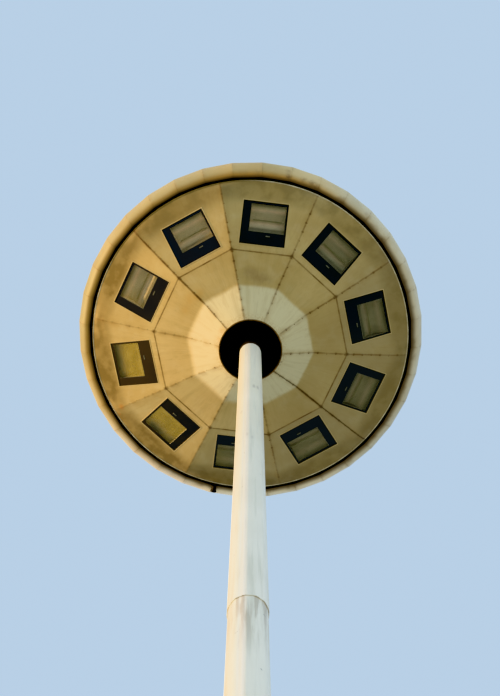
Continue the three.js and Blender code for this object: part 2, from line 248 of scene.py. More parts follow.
def upright(tree, sides, radius, depth, level):
    """An upright disc or bar with a flat-sided outline, its underside at the level."""
    bar = made_by(tree, "MeshCylinder", {"Vertices": sides, "Radius": radius, "Depth": depth})
    middle = reckoned(tree, "MULTIPLY_ADD", depth, 0.5, level)
    return made_by(tree, "Transform", {"Geometry": bar, "Translation": along_z(tree, middle)})


def close_tree(tree, geometry, finish_socket):
    """Ends a tree with real meshes in their finish."""
    real = made_by(tree, "RealizeInstances", {"Geometry": geometry})
    painted = made_by(tree, "SetMaterial", {"Geometry": real, "Material": finish_socket})
    add_node(tree, "NodeGroupOutput", {"Geometry": painted})
    return tree


def bolt_circle_tree():
    """Bolts in a circle: each a washer, a hexagon and the stud's end."""
    tree, given = new_tree(
        "bolt_circle", Count="Int", Circle="Float", Level="Float", First="Float", Hexagon="Float",
        Head="Float", Washer="Float", Stud="Float", Rise="Float", Finish="Material",
    )
    ring = made_by(tree, "MeshCircle", {"Vertices": given["Count"], "Radius": given["Circle"]})
    rise, turn = along_z(tree, given["Level"]), along_z(tree, given["First"])
    spots = made_by(tree, "Transform", {"Geometry": ring, "Translation": rise, "Rotation": turn})
    thin = reckoned(tree, "MULTIPLY", given["Head"], washer_share)
    bolt = tree.nodes.new("GeometryNodeJoinGeometry")
    for sides, radius, depth, level in (
        (24, given["Washer"], thin, 0.0), (6, given["Hexagon"], given["Head"], thin),
        (16, given["Stud"], given["Rise"], 0.0),
    ):
        tree.links.new(upright(tree, sides, radius, depth, level), bolt.inputs[0])
    bolts = made_by(tree, "InstanceOnPoints", {"Points": spots, "Instance": bolt.outputs[0]})
    return close_tree(tree, bolts, given["Finish"])


def grown(name, tree, sizes, body, rounding=0.0):
    """Runs a tree with its sizes, and keeps the result as a plain mesh."""
    seed = new_object(name, bpy.data.meshes.new(name))
    modifier = seed.modifiers.new("grown", "NODES")
    modifier.node_group = tree
    sockets = {s.name: s.identifier for s in tree.interface.items_tree if s.in_out == "INPUT"}
    for label, value in sizes.items():
        modifier[sockets[label]] = value
    shown = seed.evaluated_get(bpy.context.evaluated_depsgraph_get())
    mesh = bpy.data.meshes.new_from_object(shown)
    seed.modifiers.clear()
    seed.data = mesh
    edge_finish(seed, rounding)
    settle(seed, body, [])


zinc = zinc_finish()
bolt_circle = bolt_circle_tree()


def bolt_ring(name, rounding=0.0, **sizes):
    """A circle of galvanised bolts on the mast."""
    grown(name, bolt_circle, {**sizes, "Finish": zinc.material}, "mast", rounding)


eased_copy("base_flange", "base_plate", zinc, 0.003, "mast")
bolt_ring("anchor_bolts", 0.0012, Count=12, Circle=0.288, Level=plate_top, First=math.radians(first_anchor),
          Hexagon=0.026, Head=0.024, Washer=0.030, Stud=0.015, Rise=0.052)

# Mast
# Three tapered tubes, each pressed from plate into twelve flats and welded along one seam.
# Each tube slips over the one below; the joints are sealed and the whole mast is painted.
edge_level = 25.0
mast_corner = math.radians(20)
flat_half = math.pi / 12
flat_share = math.cos(flat_half)
top_radius, mast_taper, nest_step = 0.1156, 0.0051, 0.0063
mast_wall, mast_bend, tube_ease = 0.006, 0.090, 0.002
bead_width, bead_height, bead_depth = 0.007, 0.0016, 0.001
# From this height up, the mast's top inside the hub is painted shade.
painted_shade_from = 24.20
mast_marks = [
    (0.039, -0.123, 22.40), (0.077, -0.103, 22.42), (-0.025, -0.146, 20.65),
    (0.024, -0.147, 20.55), (-0.087, -0.108, 21.50), (-0.100, -0.111, 20.50),
]
mast_tubes = {
    "mast_lower": (0.0303, 9.0, 2),
    "mast_middle": (8.35, 17.0, 1),
    "mast_upper": (16.4, 25.25, 0),
}
lap_joints = [low for low, high, nest in mast_tubes.values() if nest < 2]


class Stock:
    """The points, faces and sheet marks of one piece, before it is made a mesh."""

    def __init__(self):
        self.points, self.marks, self.faces, self.finishes = [], [], [], []

    def face(self, corners, finish):
        self.faces.append(corners)
        self.finishes.append(finish)

    def sheet(self, outer, inner, marks=None, ring=False, hole=None, finishes=(0, 0)):
        """A wall between two equal grids of points, closed at its edges and round its hole.
        The hole is given as its first row, end row, first column and end column of faces."""
        tall, wide = len(outer), len(outer[0])
        start = len(self.points)
        marks = marks or [[(0.0, 0.0)] * wide] * tall
        for skin in (outer, inner):
            self.points += [point for row in skin for point in row]
            self.marks += [mark for row in marks for mark in row]

        def at(side, i, j):
            return start + side * tall * wide + i * wide + j % wide

        def is_open(i, j):
            if not 0 <= i < tall - 1 or not (ring or 0 <= j < wide - 1):
                return True
            return bool(hole) and hole[0] <= i < hole[1] and hole[2] <= j < hole[3]

        for i in range(tall - 1):
            for j in range(wide if ring else wide - 1):
                if is_open(i, j):
                    continue
                corners = [(i, j), (i, j + 1), (i + 1, j + 1), (i + 1, j)]
                self.face([at(0, *c) for c in corners], finishes[0])
                self.face([at(1, *c) for c in reversed(corners)], finishes[1])
                for k, step in enumerate([(-1, 0), (0, 1), (1, 0), (0, -1)]):
                    if is_open(i + step[0], j + step[1]):
                        a, b = corners[k], corners[(k + 1) % 4]
                        self.face([at(0, *b), at(0, *a), at(1, *a), at(1, *b)], finishes[0])

    def bands(self, loops, finish=0, closed=False):
        """Bands of faces between closed loops of points; closed joins the last loop to the first."""
        start, wide = len(self.points), len(loops[0])
        self.points += [point for loop in loops for point in loop]
        self.marks += [(0.0, 0.0)] * (wide * len(loops))
        rows = [[start + i * wide + j for j in range(wide)] for i in range(len(loops))]
        if closed:
            rows.append(rows[0])
        for low, high in zip(rows, rows[1:]):
            for j in range(wide):
                k = (j + 1) % wide
                self.face([low[j], low[k], high[k], high[j]], finish)
        return rows

    def stack(self, loops, finish=0):
        """A solid built up from closed loops of points, with its first and last loop filled."""
        rows = self.bands(loops, finish)
        self.face(rows[0], finish)
        self.face(rows[-1], finish)

    def placed(self, matrix):
        """A copy in another place."""
        copy = Stock()
        copy.points = [matrix @ point for point in self.points]
        copy.marks, copy.faces, copy.finishes = self.marks, self.faces, self.finishes
        return copy


def make_piece(name, stock, finishes, body, stands_for, rounding=0.0, sharpness=usual_sharpness):
    """Makes a finished piece from its stock."""
    mesh = bpy.data.meshes.new(name)
    mesh.from_pydata(stock.points, [], stock.faces)
    for finish in finishes:
        mesh.materials.append(finish.material)
    mesh.polygons.foreach_set("material_index", stock.finishes)
    layer = mesh.uv_layers.new(name="sheet")
    corners = [0] * len(mesh.loops)
    mesh.loops.foreach_get("vertex_index", corners)
    layer.data.foreach_set("uv", [value for c in corners for value in stock.marks[c]])
    shell = merged_shell(mesh)
    bmesh.ops.recalc_face_normals(shell, faces=shell.faces)
    shell.to_mesh(mesh)
    shell.free()
    piece = new_object(name, mesh)
    edge_finish(piece, rounding, sharpness)
    settle(piece, body, stands_for)


def polar(reach, azimuth, height):
    """A point at a distance from the mast's axis."""
    return Vector((reach * math.cos(azimuth), reach * math.sin(azimuth), height))


def corner_radius(height, nest):
    """Corner radius of a tube's outer face; the tubes below are smaller by their walls."""
    return top_radius + mast_taper * (edge_level - height) - nest * nest_step / flat_share


def twelve_flats(height, nest, inset):
    """One ring of points round the mast, with its bends rounded."""
    bend = mast_bend - inset
    centre = corner_radius(height, nest) - inset / flat_share - bend / flat_share
    ring = []
    for k in range(12):
        corner = mast_corner + k * math.pi / 6
        for step in range(5):
            angle = corner + math.radians(-15 + 7.5 * step)
            ring.append(Vector((
                centre * math.cos(corner) + bend * math.cos(angle),
                centre * math.sin(corner) + bend * math.sin(angle),
                height,
            )))
    return ring


def eighths(low, high):
    """Nine levels from low to high."""
    return [low + (high - low) * k / 8 for k in range(9)]


def weld_bead(stock, low, high, nest):
    """The low bead of the tube's long seam, on the flat that looks away."""
    outward = polar(1, mast_corner + flat_half + math.pi / 3, 0)
    across = Vector((-outward.y, outward.x, 0)) * bead_width / 2

    def strip(height, out, crown=0.0):
        foot = outward * (corner_radius(height, nest) * flat_share + out)
        foot.z = height
        shares = ((-1, 0), (-0.5, crown), (0.5, crown), (1, 0))
        return [foot + across * share + outward * rise for share, rise in shares]

    levels = eighths(low, high)
    stock.sheet([strip(z, 0.0, bead_height) for z in levels], [strip(z, -bead_depth) for z in levels])


def toned_by_azimuth(finish, along, places, laid_on=None):
    """Tones places by azimuth, as painted light, shade and reflection: (azimuth, half width and blur in
    degrees, factor, then where it starts and ends).
    With laid_on the factor is a colour, laid on at that share."""
    east, north, _ = finish.parts()
    turned = finish.math("ARCTAN2", north, east)
    for azimuth, half_width, blur, tint, *ends in places:
        facing = finish.math("COSINE", turned - math.radians(azimuth))
        far, near = math.radians(half_width + blur), math.radians(half_width - blur)
        share = facing.fade(math.cos(far), math.cos(near))
        if ends:
            start, end = ends
            share = share * along.fade(start - 0.02, start + 0.02) * along.fade(end + 0.02, end - 0.02)
        if laid_on is None:
            finish.tone(share, tint)
        else:
            finish.layer(share * laid_on, tint)


def distance_to(finish, spot, squash=(1, 1, 1)):
    """How far a point is from a spot, with each direction scaled."""
    beside = finish.value("VectorMath", {0: finish.place, 1: spot}, operation="SUBTRACT")
    flatter = finish.value("VectorMath", {0: beside, 1: squash}, operation="MULTIPLY")
    return finish.value("VectorMath", {0: flatter}, "Value", operation="LENGTH")


def mast_finish():
    """Cream-white paint with rain streaks and scuffs; its lamp side and two flats are toned as painted shade,
    and its top inside the hub is painted shade.
    """
    paint = Finish("mast_paint", 0.38)
    east, north, height = paint.parts()
    streaks = paint.noise(24.0, 5.0, (1, 1, 0.035)).fade(0.46, 0.74)
    clouds = paint.noise(1.4).fade(0.35, 0.75)
    scuffs = paint.noise(17.0, 7.0, (1, 1, 0.6)).fade(0.70, 0.76)
    ragged = paint.noise(30.0, 4.0, (1, 1, 0.06)).fade(0.38, 0.62)
    splash = height.fade(1.1, 0.0) * paint.noise(9.0).fade(0.3, 0.7)
    sunny_side = paint.math("COSINE", paint.math("ARCTAN2", north, east)).fade(-0.15, -0.60)
    paint.colour = paint.mix(clouds, (0.94, 0.87, 0.72), (0.88, 0.81, 0.66))
    # Painted shade: the side toward the warm lamp is toned cooler and darker.
    paint.tone(sunny_side, (0.83, 0.90, 0.94))
    # Painted shade on the flats round azimuths 228 and 252.
    toned_by_azimuth(paint, height, [
        (228, 16, 6, (0.91, 0.94, 1.0)),
        (252, 9, 5, (0.80, 0.86, 0.98)),
    ])
    paint.layer(streaks * 0.35, (0.50, 0.47, 0.38))
    for joint in lap_joints:
        below = paint.math("SUBTRACT", joint, height)
        paint.layer(below.fade(1.3, 0.0) * below.fade(-0.02, 0.0) * ragged * 0.55, (0.36, 0.27, 0.15))
    paint.layer(scuffs * 0.6, (0.22, 0.19, 0.15))
    paint.layer(splash * 0.6, (0.30, 0.25, 0.18))
    for spot in mast_marks:
        paint.layer(distance_to(paint, spot, (1, 1, 0.25)).fade(0.024, 0.006) * 0.36, (0.24, 0.22, 0.20))
    # Painted shade: the top inside the hub turns dark brown, then black.
    hub_shade = paint.mix(height.fade(painted_shade_from, painted_shade_from + 0.11), (0.055, 0.028, 0.012), (0.004, 0.004, 0.005))
    paint.layer(height.fade(painted_shade_from - 0.001, painted_shade_from + 0.001), hub_shade)
    paint.give("Roughness", streaks.scaled(0.2, 0.34))
    paint.give("Coat Weight", 0.15)
    paint.give("Coat Roughness", 0.3)
    return paint.done(paint.noise(420.0, 2.0), 0.00025)


mast_paint = mast_finish()
for node, (low, high, nest) in mast_tubes.items():
    levels = [low, low + tube_ease] + eighths(low, high)[1:-1] + [high - tube_ease, high]
    insets = [tube_ease] + [0.0] * (len(levels) - 2) + [tube_ease]
    tube = Stock()
    tube.sheet([twelve_flats(z, nest, inset) for z, inset in zip(levels, insets)],
               [twelve_flats(z, nest, mast_wall) for z in levels], ring=True)
    weld_bead(tube, max(low, 0.2), min(high, edge_level - 0.8), nest)
    make_piece(node + "_tube", tube, [mast_paint], "mast", [node])

# Access door
# A flat steel cover plate with round corners, screwed over the hand hole and painted with the mast.
# Four round-headed screws and a lock hold it; a rubber seal shows as a dark line.
door_low, door_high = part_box("access_door")
door_height = door_high.z - door_low.z
door_width, door_corner, door_ease = 0.150, 0.028, 0.001
door_out = polar(1, math.radians(-85), 0)
door_across = Vector((-door_out.y, door_out.x, 0))
seal_inset, seal_back, seal_face, door_face = 0.004, 0.0004, 0.0030, 0.0083
screw_across, screw_up, screw_radius, screw_height = 0.055, 0.37, 0.009, 0.004
lock_across, lock_radius, lock_height = 0.052, 0.014, 0.006


def full_turn(count):
    """Equal angles all round."""
    return [2 * math.pi * k / count for k in range(count)]


def rounded_outline(width, height, corner, steps=6):
    """Points round a rectangle with rounded corners, centred on zero."""
    outline = []
    for quarter, (sx, sy) in enumerate([(1, 1), (-1, 1), (-1, -1), (1, -1)]):
        for k in range(steps + 1):
            angle = math.pi / 2 * (quarter + k / steps)
            outline.append((
                sx * (width / 2 - corner) + corner * math.cos(angle),
                sy * (height / 2 - corner) + corner * math.sin(angle),
            ))
    return outline


def on_door(u, v, out):
    """A point on the leaning flat: u across it, v up from the door's middle, out from the mast."""
    height = (door_low.z + door_high.z) / 2 + v
    point = door_out * (corner_radius(height, 2) * flat_share + out) + door_across * u
    point.z = height
    return point


def disc_on(stock, centre, out, radius, height):
    """A low round boss standing on a surface."""
    across = out.orthogonal().normalized()
    up = out.cross(across)
    spokes = [across * math.cos(a) + up * math.sin(a) for a in full_turn(24)]
    stock.stack([[centre + out * rise + spoke * radius * share for spoke in spokes]
                 for share, rise in ((1.0, -0.001), (1.0, height * 0.7), (0.86, height))])


def two_shades(name, roughness, cloud, first, second, metallic=0.0, shine=0.5, grain=None):
    """A finish of two shades in clouds: (scale, detail), and where they start and end if they fade.
    The grain is its small relief: (scale, detail, depth)."""
    plain = Finish(name, roughness, metallic)
    share = plain.noise(*cloud[:2])
    if cloud[2:]:
        share = share.fade(*cloud[2:])
    plain.colour = plain.mix(share, first, second)
    plain.give("Specular IOR Level", shine)
    if grain:
        return plain.done(plain.noise(*grain[:2]), grain[2])
    return plain.done()


black_rubber = two_shades("black_rubber", 0.75, (60.0, 5.0, 0.4, 0.8), (0.012, 0.012, 0.013),
                          (0.05, 0.047, 0.04), grain=(500.0, 2.0, 0.0003))
door = Stock()
for inset, low, high, finish in ((seal_inset, seal_back, seal_face, 1), (0.0, seal_face, door_face, 0)):
    loops = []
    for shrink, level in ((inset, low), (inset, high - door_ease), (inset + door_ease, high)):
        outline = rounded_outline(door_width - 2 * shrink, door_height - 2 * shrink, door_corner - inset)
        loops.append([on_door(u, v, level) for u, v in outline])
    door.stack(loops, finish)
make_piece("access_door_cover", door, [mast_paint, black_rubber], "mast", ["access_door"])

door_fittings = Stock()
for v in (screw_up, -screw_up):
    for u in (-screw_across, screw_across):
        disc_on(door_fittings, on_door(u, v, door_face), door_out, screw_radius, screw_height)
disc_on(door_fittings, on_door(lock_across, 0.0, door_face), door_out, lock_radius, lock_height)
make_piece("access_door_screws", door_fittings, [zinc], "mast", [], 0.0005)

# Head frame
# A thick plate on the mast's top with five flat-bar arms that carry the canopy.
# Round posts under the arms dock the carriage; all of it is welded and coated black, a black that also stands
# in for the shade inside the head.
first_seam, sectors = 6.4, 10
head_plate_top = 25.2723
# Black underseal; it also stands in for shade, inside the head and on the canopy's inner faces.
black_underseal = two_shades("black_underseal", 0.8, (45.0, 5.0), (0.004, 0.004, 0.005),
                             (0.011, 0.010, 0.010), shine=0.25, grain=(45.0, 5.0, 0.002))
eased_copy("head_frame", "head_frame_steel", black_underseal, 0.0015, "mast")
bolt_ring("head_plate_bolts", Count=sectors, Circle=0.155, Level=head_plate_top,
          First=math.radians(first_seam + 180 / sectors),
          Hexagon=0.014, Head=0.012, Washer=0.016, Stud=0.008, Rise=0.020)

# Canopy rim
# Thirty-six pressed sheets make the rounded rim; their joints show as thin brown lines.
# The paint is sun-yellowed; a brown band at the inner lip is painted shade, the rim is toned by side as
# painted light and shade, and its inner face is black as painted shade.
facets = 36
facet_angle = 2 * math.pi / facets
facet_corner = math.radians(3.5)
canopy_wall = 0.004
joint_groove = (0.0015, 0.0045)
rim_joint_rise = -0.0018
rim_outline = [
    (1.788, 0.006), (1.832, 0.012), (1.870, 0.042), (1.898, 0.094), (1.914, 0.167),
    (1.911, 0.237), (1.889, 0.305), (1.855, 0.343), (1.765, 0.343),
]
rim_reach = 1.914
yellowed_cream = ((0.62, 0.48, 0.22), (0.53, 0.39, 0.165), (0.66, 0.55, 0.31))
rim_cream = ((0.73, 0.65, 0.465), (0.64, 0.545, 0.36), (0.78, 0.715, 0.57))
rim_marks = [
    ((0.395, -1.790, 25.015), 0.060, 0.60), ((0.393, -1.851, 25.070), 0.060, 0.35),
    ((0.568, -1.750, 25.018), 0.070, 0.40), ((0.657, -1.710, 25.012), 0.080, 0.50),
    ((0.709, -1.670, 25.010), 0.070, 0.45), ((0.970, -1.523, 25.008), 0.085, 0.50),
    ((0.048, -1.823, 25.011), 0.070, 0.30), ((1.270, -1.362, 25.036), 0.070, 0.35),
    ((1.439, -1.105, 25.010), 0.070, 0.40),
]


def rounded_line(points, steps, limit):
    """A smooth line through the points, as far out as the limit."""
    ends = [points[0]] + points + [points[-1]]
    line = []
    for k in range(1, len(ends) - 2):
        p, q, r, s = (Vector(point) for point in ends[k - 1:k + 3])
        for step in range(steps):
            t = step / steps
            spot = 0.5 * ((2 * q) + (r - p) * t + (2 * p - 5 * q + 4 * r - s) * t ** 2
                          + (3 * q - p - 3 * r + s) * t ** 3)
            line.append((min(spot.x, limit), spot.y))
    return line + [points[-1]]


def inside_of(line, wall):
    """The line moved in by the wall."""
    moved = []
    for k, (r, z) in enumerate(line):
        before, after = line[max(k - 1, 0)], line[min(k + 1, len(line) - 1)]
        along = Vector((after[0] - before[0], after[1] - before[1])).normalized()
        moved.append((r - along.y * wall, z + along.x * wall))
    return moved


def facet_columns(reach, count, closed):
    """Places along the facets: (corner azimuth, share of the way to the next, distance to a joint, depth)."""
    chord = 2 * reach * math.sin(facet_angle / 2)
    near, far = joint_groove
    columns = []
    for k in range(count):
        azimuth = k * facet_angle
        columns.append((azimuth, 0.0, 0.0, 1.0))
        for offset in (near, far, chord / 2, chord - far, chord - near):
            depth = 0.55 if offset in (near, chord - near) else 0.0
            columns.append((azimuth, offset / chord, min(offset, chord - offset), depth))
    if not closed:
        columns.append(((count - 1) * facet_angle, 1.0, 0.0, 1.0))
    return columns


def on_facet(r, z, azimuth, share):
    """A point on a flat facet between two corners."""
    a, b = azimuth, azimuth + facet_angle
    return Vector((
        r * (math.cos(a) * (1 - share) + math.cos(b) * share),
        r * (math.sin(a) * (1 - share) + math.sin(b) * share),
        z,
    ))


def faceted_sheet(outer, inner, start, count, closed, joint_rise):
    """A sheet swept round the facets; its joints stand proud by the rise, or are grooves below 0."""
    columns = facet_columns(outer[len(outer) // 2][0], count, closed)
    skin, back, marks = [], [], []
    along = 0.0
    for k, ((r, z), (ri, zi)) in enumerate(zip(outer, inner)):
        if k:
            along += math.dist(outer[k - 1], outer[k])
        skin.append([])
        back.append([])
        for azimuth, share, distance, depth in columns:
            out_point = on_facet(r, z, start + azimuth, share)
            in_point = on_facet(ri, zi, start + azimuth, share)
            outward = (out_point - in_point).normalized()
            skin[-1].append(out_point + outward * joint_rise * depth)
            back[-1].append(in_point)
        marks.append([(distance, along) for _, _, distance, _ in columns])
    stock = Stock()
    stock.sheet(skin, back, marks, ring=closed, finishes=(0, 1))
    return stock


def sheet_marks(finish):
    """The two distances that a sheet's marks hold."""
    layer = finish.value("UVMap", uv_map="sheet")
    return finish.parts(layer)[:2]


def weathered_cream(name, roughness, shades=yellowed_cream):
    """Cream paint that has yellowed in the sun, with faint clouds and chalky patches."""
    fresh, tired, chalky = shades
    cream = Finish(name, roughness)
    cream.colour = cream.mix(cream.noise(2.2, 5.0).fade(0.3, 0.72), fresh, tired)
    cream.layer(cream.noise(7.0, 6.0).fade(0.45, 0.75) * 0.35, chalky)
    return cream


def rim_finish():
    """The rim's paint: joint lines and streaks down from the joints, with painted light and shade: tones by
    side and azimuth, and a brown band of painted shade at the inner lip.
    """
    cream = weathered_cream("rim_paint", 0.55, rim_cream)
    to_joint, along = sheet_marks(cream)
    east, north, _ = cream.parts()
    broken = cream.noise(13.0, 5.0).fade(0.35, 0.6)
    grain = cream.noise(26.0, 6.0).fade(0.34, 0.66)
    # The side away from the warm lamp, where the painted shade at the lip is wider.
    shaded_lip_side = north.scaled(0.35, east).fade(-1.6, 1.7)
    sunny_side = north.scaled(0.70, east).fade(1.3, -1.6)
    line = to_joint.fade(0.007, 0.001) * broken.scaled(0.6, 0.25)
    halo = to_joint.fade(0.05, 0.0) * broken
    lip = along.fade(shaded_lip_side.scaled(0.040, 0.030), 0.003)
    lip_smudge_and_shade = cream.noise(5.0, 6.0).fade(0.48, 0.72) * sunny_side.scaled(-0.7, 1.0)
    # Painted shade: the side toward the warm lamp is toned darker.
    cream.tone(sunny_side, (0.58, 0.56, 0.41))
    # Painted light and shade: tones round four azimuths.
    toned_by_azimuth(cream, along, [
        (278, 17, 13, (1.36, 1.19, 0.98)),
        (82, 26, 12, (1.40, 1.38, 1.42)),
        (128, 14, 10, (1.06, 1.13, 1.40)),
        (188, 14, 10, (0.82, 0.86, 0.82)),
    ])
    # Painted light: a warm orange tone near the lip on the lamp side.
    cream.tone(along.fade(0.085, 0.010) * sunny_side, (1.0, 0.72, 0.42))
    cream.layer(halo * 0.25, (0.40, 0.27, 0.11))
    # Dark patches near the lip: partly dirt, partly painted shade by the gap.
    cream.layer(along.fade(0.12, 0.02) * lip_smudge_and_shade * 0.7, (0.26, 0.18, 0.085))
    for spot, size, share in rim_marks:
        grainy = grain.scaled(share, share * 0.4)
        cream.layer(distance_to(cream, spot).fade(size, 0.0) * grainy, (0.24, 0.150, 0.070))
    # Painted shade: a brown band along the inner lip, by the gap.
    cream.layer(lip * 0.9, (0.085, 0.045, 0.018))
    cream.layer(line * 0.38, (0.22, 0.13, 0.05))
    return cream.done(cream.noise(90.0), 0.0008)


rim_paint = rim_finish()
rim_line = [(r, edge_level + z) for r, z in rounded_line(rim_outline, 3, rim_reach)]
rim_inside = inside_of(rim_line, canopy_wall)
for k in range(4):
    start = facet_corner + k * math.pi / 2
    length = faceted_sheet(rim_line, rim_inside, start, facets // 4, False, rim_joint_rise)
    make_piece(f"canopy_rim_sheet_{k + 1}", length, [rim_paint, black_underseal],
               "mast", [f"canopy_rim_{k + 1}"], 0.0, 50.0)

# Canopy roof
# Thirty-six tapered sheets, folded together in low standing joints over the head.
# The same yellowed paint, with dust and rain lines that run down to the eave.
roof_outline = [(1.871, 0.349), (1.500, 0.437), (0.850, 0.535), (0.150, 0.587)]
roof_seat, roof_seat_width = 0.3433, 0.040
roof_joint_rise = 0.005


def roof_finish():
    """The roof's paint: dusty, with rain lines from the middle to the eave."""
    cream = weathered_cream("roof_paint", 0.6)
    to_joint, along = sheet_marks(cream)
    east, north, _ = cream.parts()
    rays = cream.value("CombineXYZ", {0: cream.math("ARCTAN2", north, east), 1: along})
    rain = cream.noise(22.0, 5.0, (1, 0.05, 1), rays).fade(0.42, 0.7)
    dust = cream.noise(3.0, 7.0).fade(0.4, 0.7)
    line = to_joint.fade(0.012, 0.002)
    cream.layer(rain * 0.4, (0.38, 0.31, 0.18))
    cream.layer(dust * 0.35, (0.42, 0.38, 0.29))
    cream.layer(line * 0.5, (0.24, 0.16, 0.07))
    return cream.done(cream.noise(70.0, 5.0), 0.001)


roof_paint = roof_finish()
eave_reach, eave_level = roof_outline[0][0], edge_level + roof_seat
roof_line = [(eave_reach, eave_level)]
for (r0, z0), (r1, z1) in zip(roof_outline, roof_outline[1:]):
    for share in (0.0, 0.03, 0.35, 0.65, 0.97):
        roof_line.append((r0 + (r1 - r0) * share, edge_level + z0 + (z1 - z0) * share))
roof_line.append((roof_outline[-1][0], edge_level + roof_outline[-1][1]))
inner_reach = eave_reach - roof_seat_width
roof_inside = [(inner_reach, eave_level)]
roof_inside += [(min(r, inner_reach), max(z - canopy_wall, eave_level + 0.001)) for r, z in roof_line[1:]]
roof = faceted_sheet(roof_line, roof_inside, facet_corner, facets, True, roof_joint_rise)
# The roof's inner face is black, as painted shade.
make_piece("canopy_roof_sheets", roof, [roof_paint, black_underseal], "mast", ["canopy_roof"])

# Roof cap
# A spun dome closes the roof's middle, held by eight bolts through its brim.
# It is painted with the roof and gathers the most dust.
cap_radius, cap_seat, cap_brim, cap_sides = 0.185, 25.5873, 0.009, 72
dome_share, dome_foot, dome_rise = 0.74, 0.0335, 0.0170
cap_outline = [
    (1.0, 0.0), (1.0, 0.008), (0.985, 0.0095), (0.80, 0.0105), (0.785, 0.014), (dome_share, dome_foot),
]
for a in (0.4, 0.8, 1.15, 1.4):
    cap_outline.append((dome_share * math.cos(a), dome_foot + dome_rise * math.sin(a)))
cap_mark = (0.1, 0.3)
cap = Stock()
cap.stack([[polar(cap_radius * share, a, cap_seat + rise) for a in full_turn(cap_sides)]
           for share, rise in cap_outline])
cap.marks = [cap_mark] * len(cap.points)
make_piece("roof_cap_dome", cap, [roof_paint], "mast", ["roof_cap"])
bolt_ring("roof_cap_bolts", Count=8, Circle=0.165, Level=cap_seat + cap_brim, First=0.2,
          Hexagon=0.0085, Head=0.006, Washer=0.011, Stud=0.005, Rise=0.010)

# Photocell
# A small moulded barrel that lies under the rim's lip and looks outwards, flared at its mouth.
# It is black plastic, gone a little purple in the sun, on a saddle under the lip.
black_plastic = two_shades("black_plastic", 0.5, (30.0, 5.0, 0.35, 0.75), (0.003, 0.002, 0.004),
                           (0.010, 0.008, 0.012), shine=0.15, grain=(600.0, 2.0, 0.0002))
eased_copy("photocell", "photocell_cup", black_plastic, 0.002, "mast")

# Carriage ring
# A channel bent to a flat-sided ring, open to the mast, that the lifting ropes carry.
# The tray's arms are bolted to its web; the ring is coated black, a black that also stands in for the shade
# inside the head.
eased_copy("carriage_ring", "carriage_ring_channel", black_underseal, 0.0015, "carriage")

# Hub sleeve
# Four rolled quarters of thin sheet line the hole where the mast passes, hung by a flange.
# They are painted black like the floodlights, a black that also stands in for the shade inside the hub; the
# rolled hem round their foot has rusted.
hem_middle, hem_level, hem_size, hem_steps = 0.3395, 24.3452, 0.0052, 96


def black_finish():
    """Black satin paint, browned with fine dust and worn grey at scattered spots; a brown lift on the sunny
    side is painted light, and a navy tint is a painted sky reflection.
    """
    black = Finish("black_paint", 0.58)
    east, north, height = black.parts()
    dust = black.noise(5.0, 6.0).fade(0.42, 0.75)
    worn = black.noise(40.0, 6.0).fade(0.66, 0.74)
    far_half = north.fade(-0.35, 0.05)
    painted_sunlight = east.fade(-0.85, -1.2) * far_half
    black.colour = black.mix(dust, (0.0015, 0.0035, 0.008), (0.006, 0.007, 0.008))
    black.layer(worn * 0.4, (0.03, 0.028, 0.025))
    # Painted light: a brown lift on the sunny side.
    black.layer(painted_sunlight * 0.8, (0.034, 0.019, 0.007))
    # Painted reflection: a navy tint of the sky round azimuth 222.
    toned_by_azimuth(black, height, [(222, 32, 6, (0.0105, 0.0170, 0.032))], 0.85)
    black.give("Specular IOR Level", far_half.scaled(0.20, 0.22))
    black.give("Roughness", dust.scaled(0.15, 0.50))
    return black.done(black.noise(380.0, 2.0), 0.0002)


def rust_finish():
    """Rusted steel: brown to nearly black, and rough; on the side toward the warm lamp it is laid over with
    cream as painted light.
    """
    rust = Finish("rusted_steel", 0.8, 0.1)
    east, north, _ = rust.parts()
    painted = north.scaled(-0.5, east).fade(-0.3, -0.8)
    rust.colour = rust.mix(rust.noise(25.0).fade(0.35, 0.65), (0.26, 0.145, 0.050), (0.10, 0.055, 0.024))
    # Painted light: cream over the rust on the side toward the warm lamp.
    rust.layer(painted * 0.85, (0.55, 0.42, 0.18))
    return rust.done(rust.noise(400.0), 0.0005)


black_paint = black_finish()
rusted_steel = rust_finish()
for k in range(1, 5):
    eased_copy(f"hub_sleeve_{k}", f"hub_sleeve_sheet_{k}", black_paint, 0.0008, "carriage")
hem = Stock()
hem.bands([
    [polar(hem_middle + hem_size * math.cos(a), turn, hem_level + hem_size * math.sin(a))
     for turn in full_turn(hem_steps)]
    for a in full_turn(10)
], closed=True)
make_piece("hub_sleeve_hem", hem, [rusted_steel], "carriage", [], 0.0, 60.0)

# Carriage arms
# Five plate arms run out over every second joint of the tray and carry it.
# They are bolted to the ring, and each has a pad for the head frame's docking post.
arm_count = 5
for k in range(1, arm_count + 1):
    # Coated black, which also stands in for the shade inside the head.
    eased_copy(f"carriage_arm_{k}", f"carriage_arm_plate_{k}", black_underseal, 0.0012,
               "carriage")

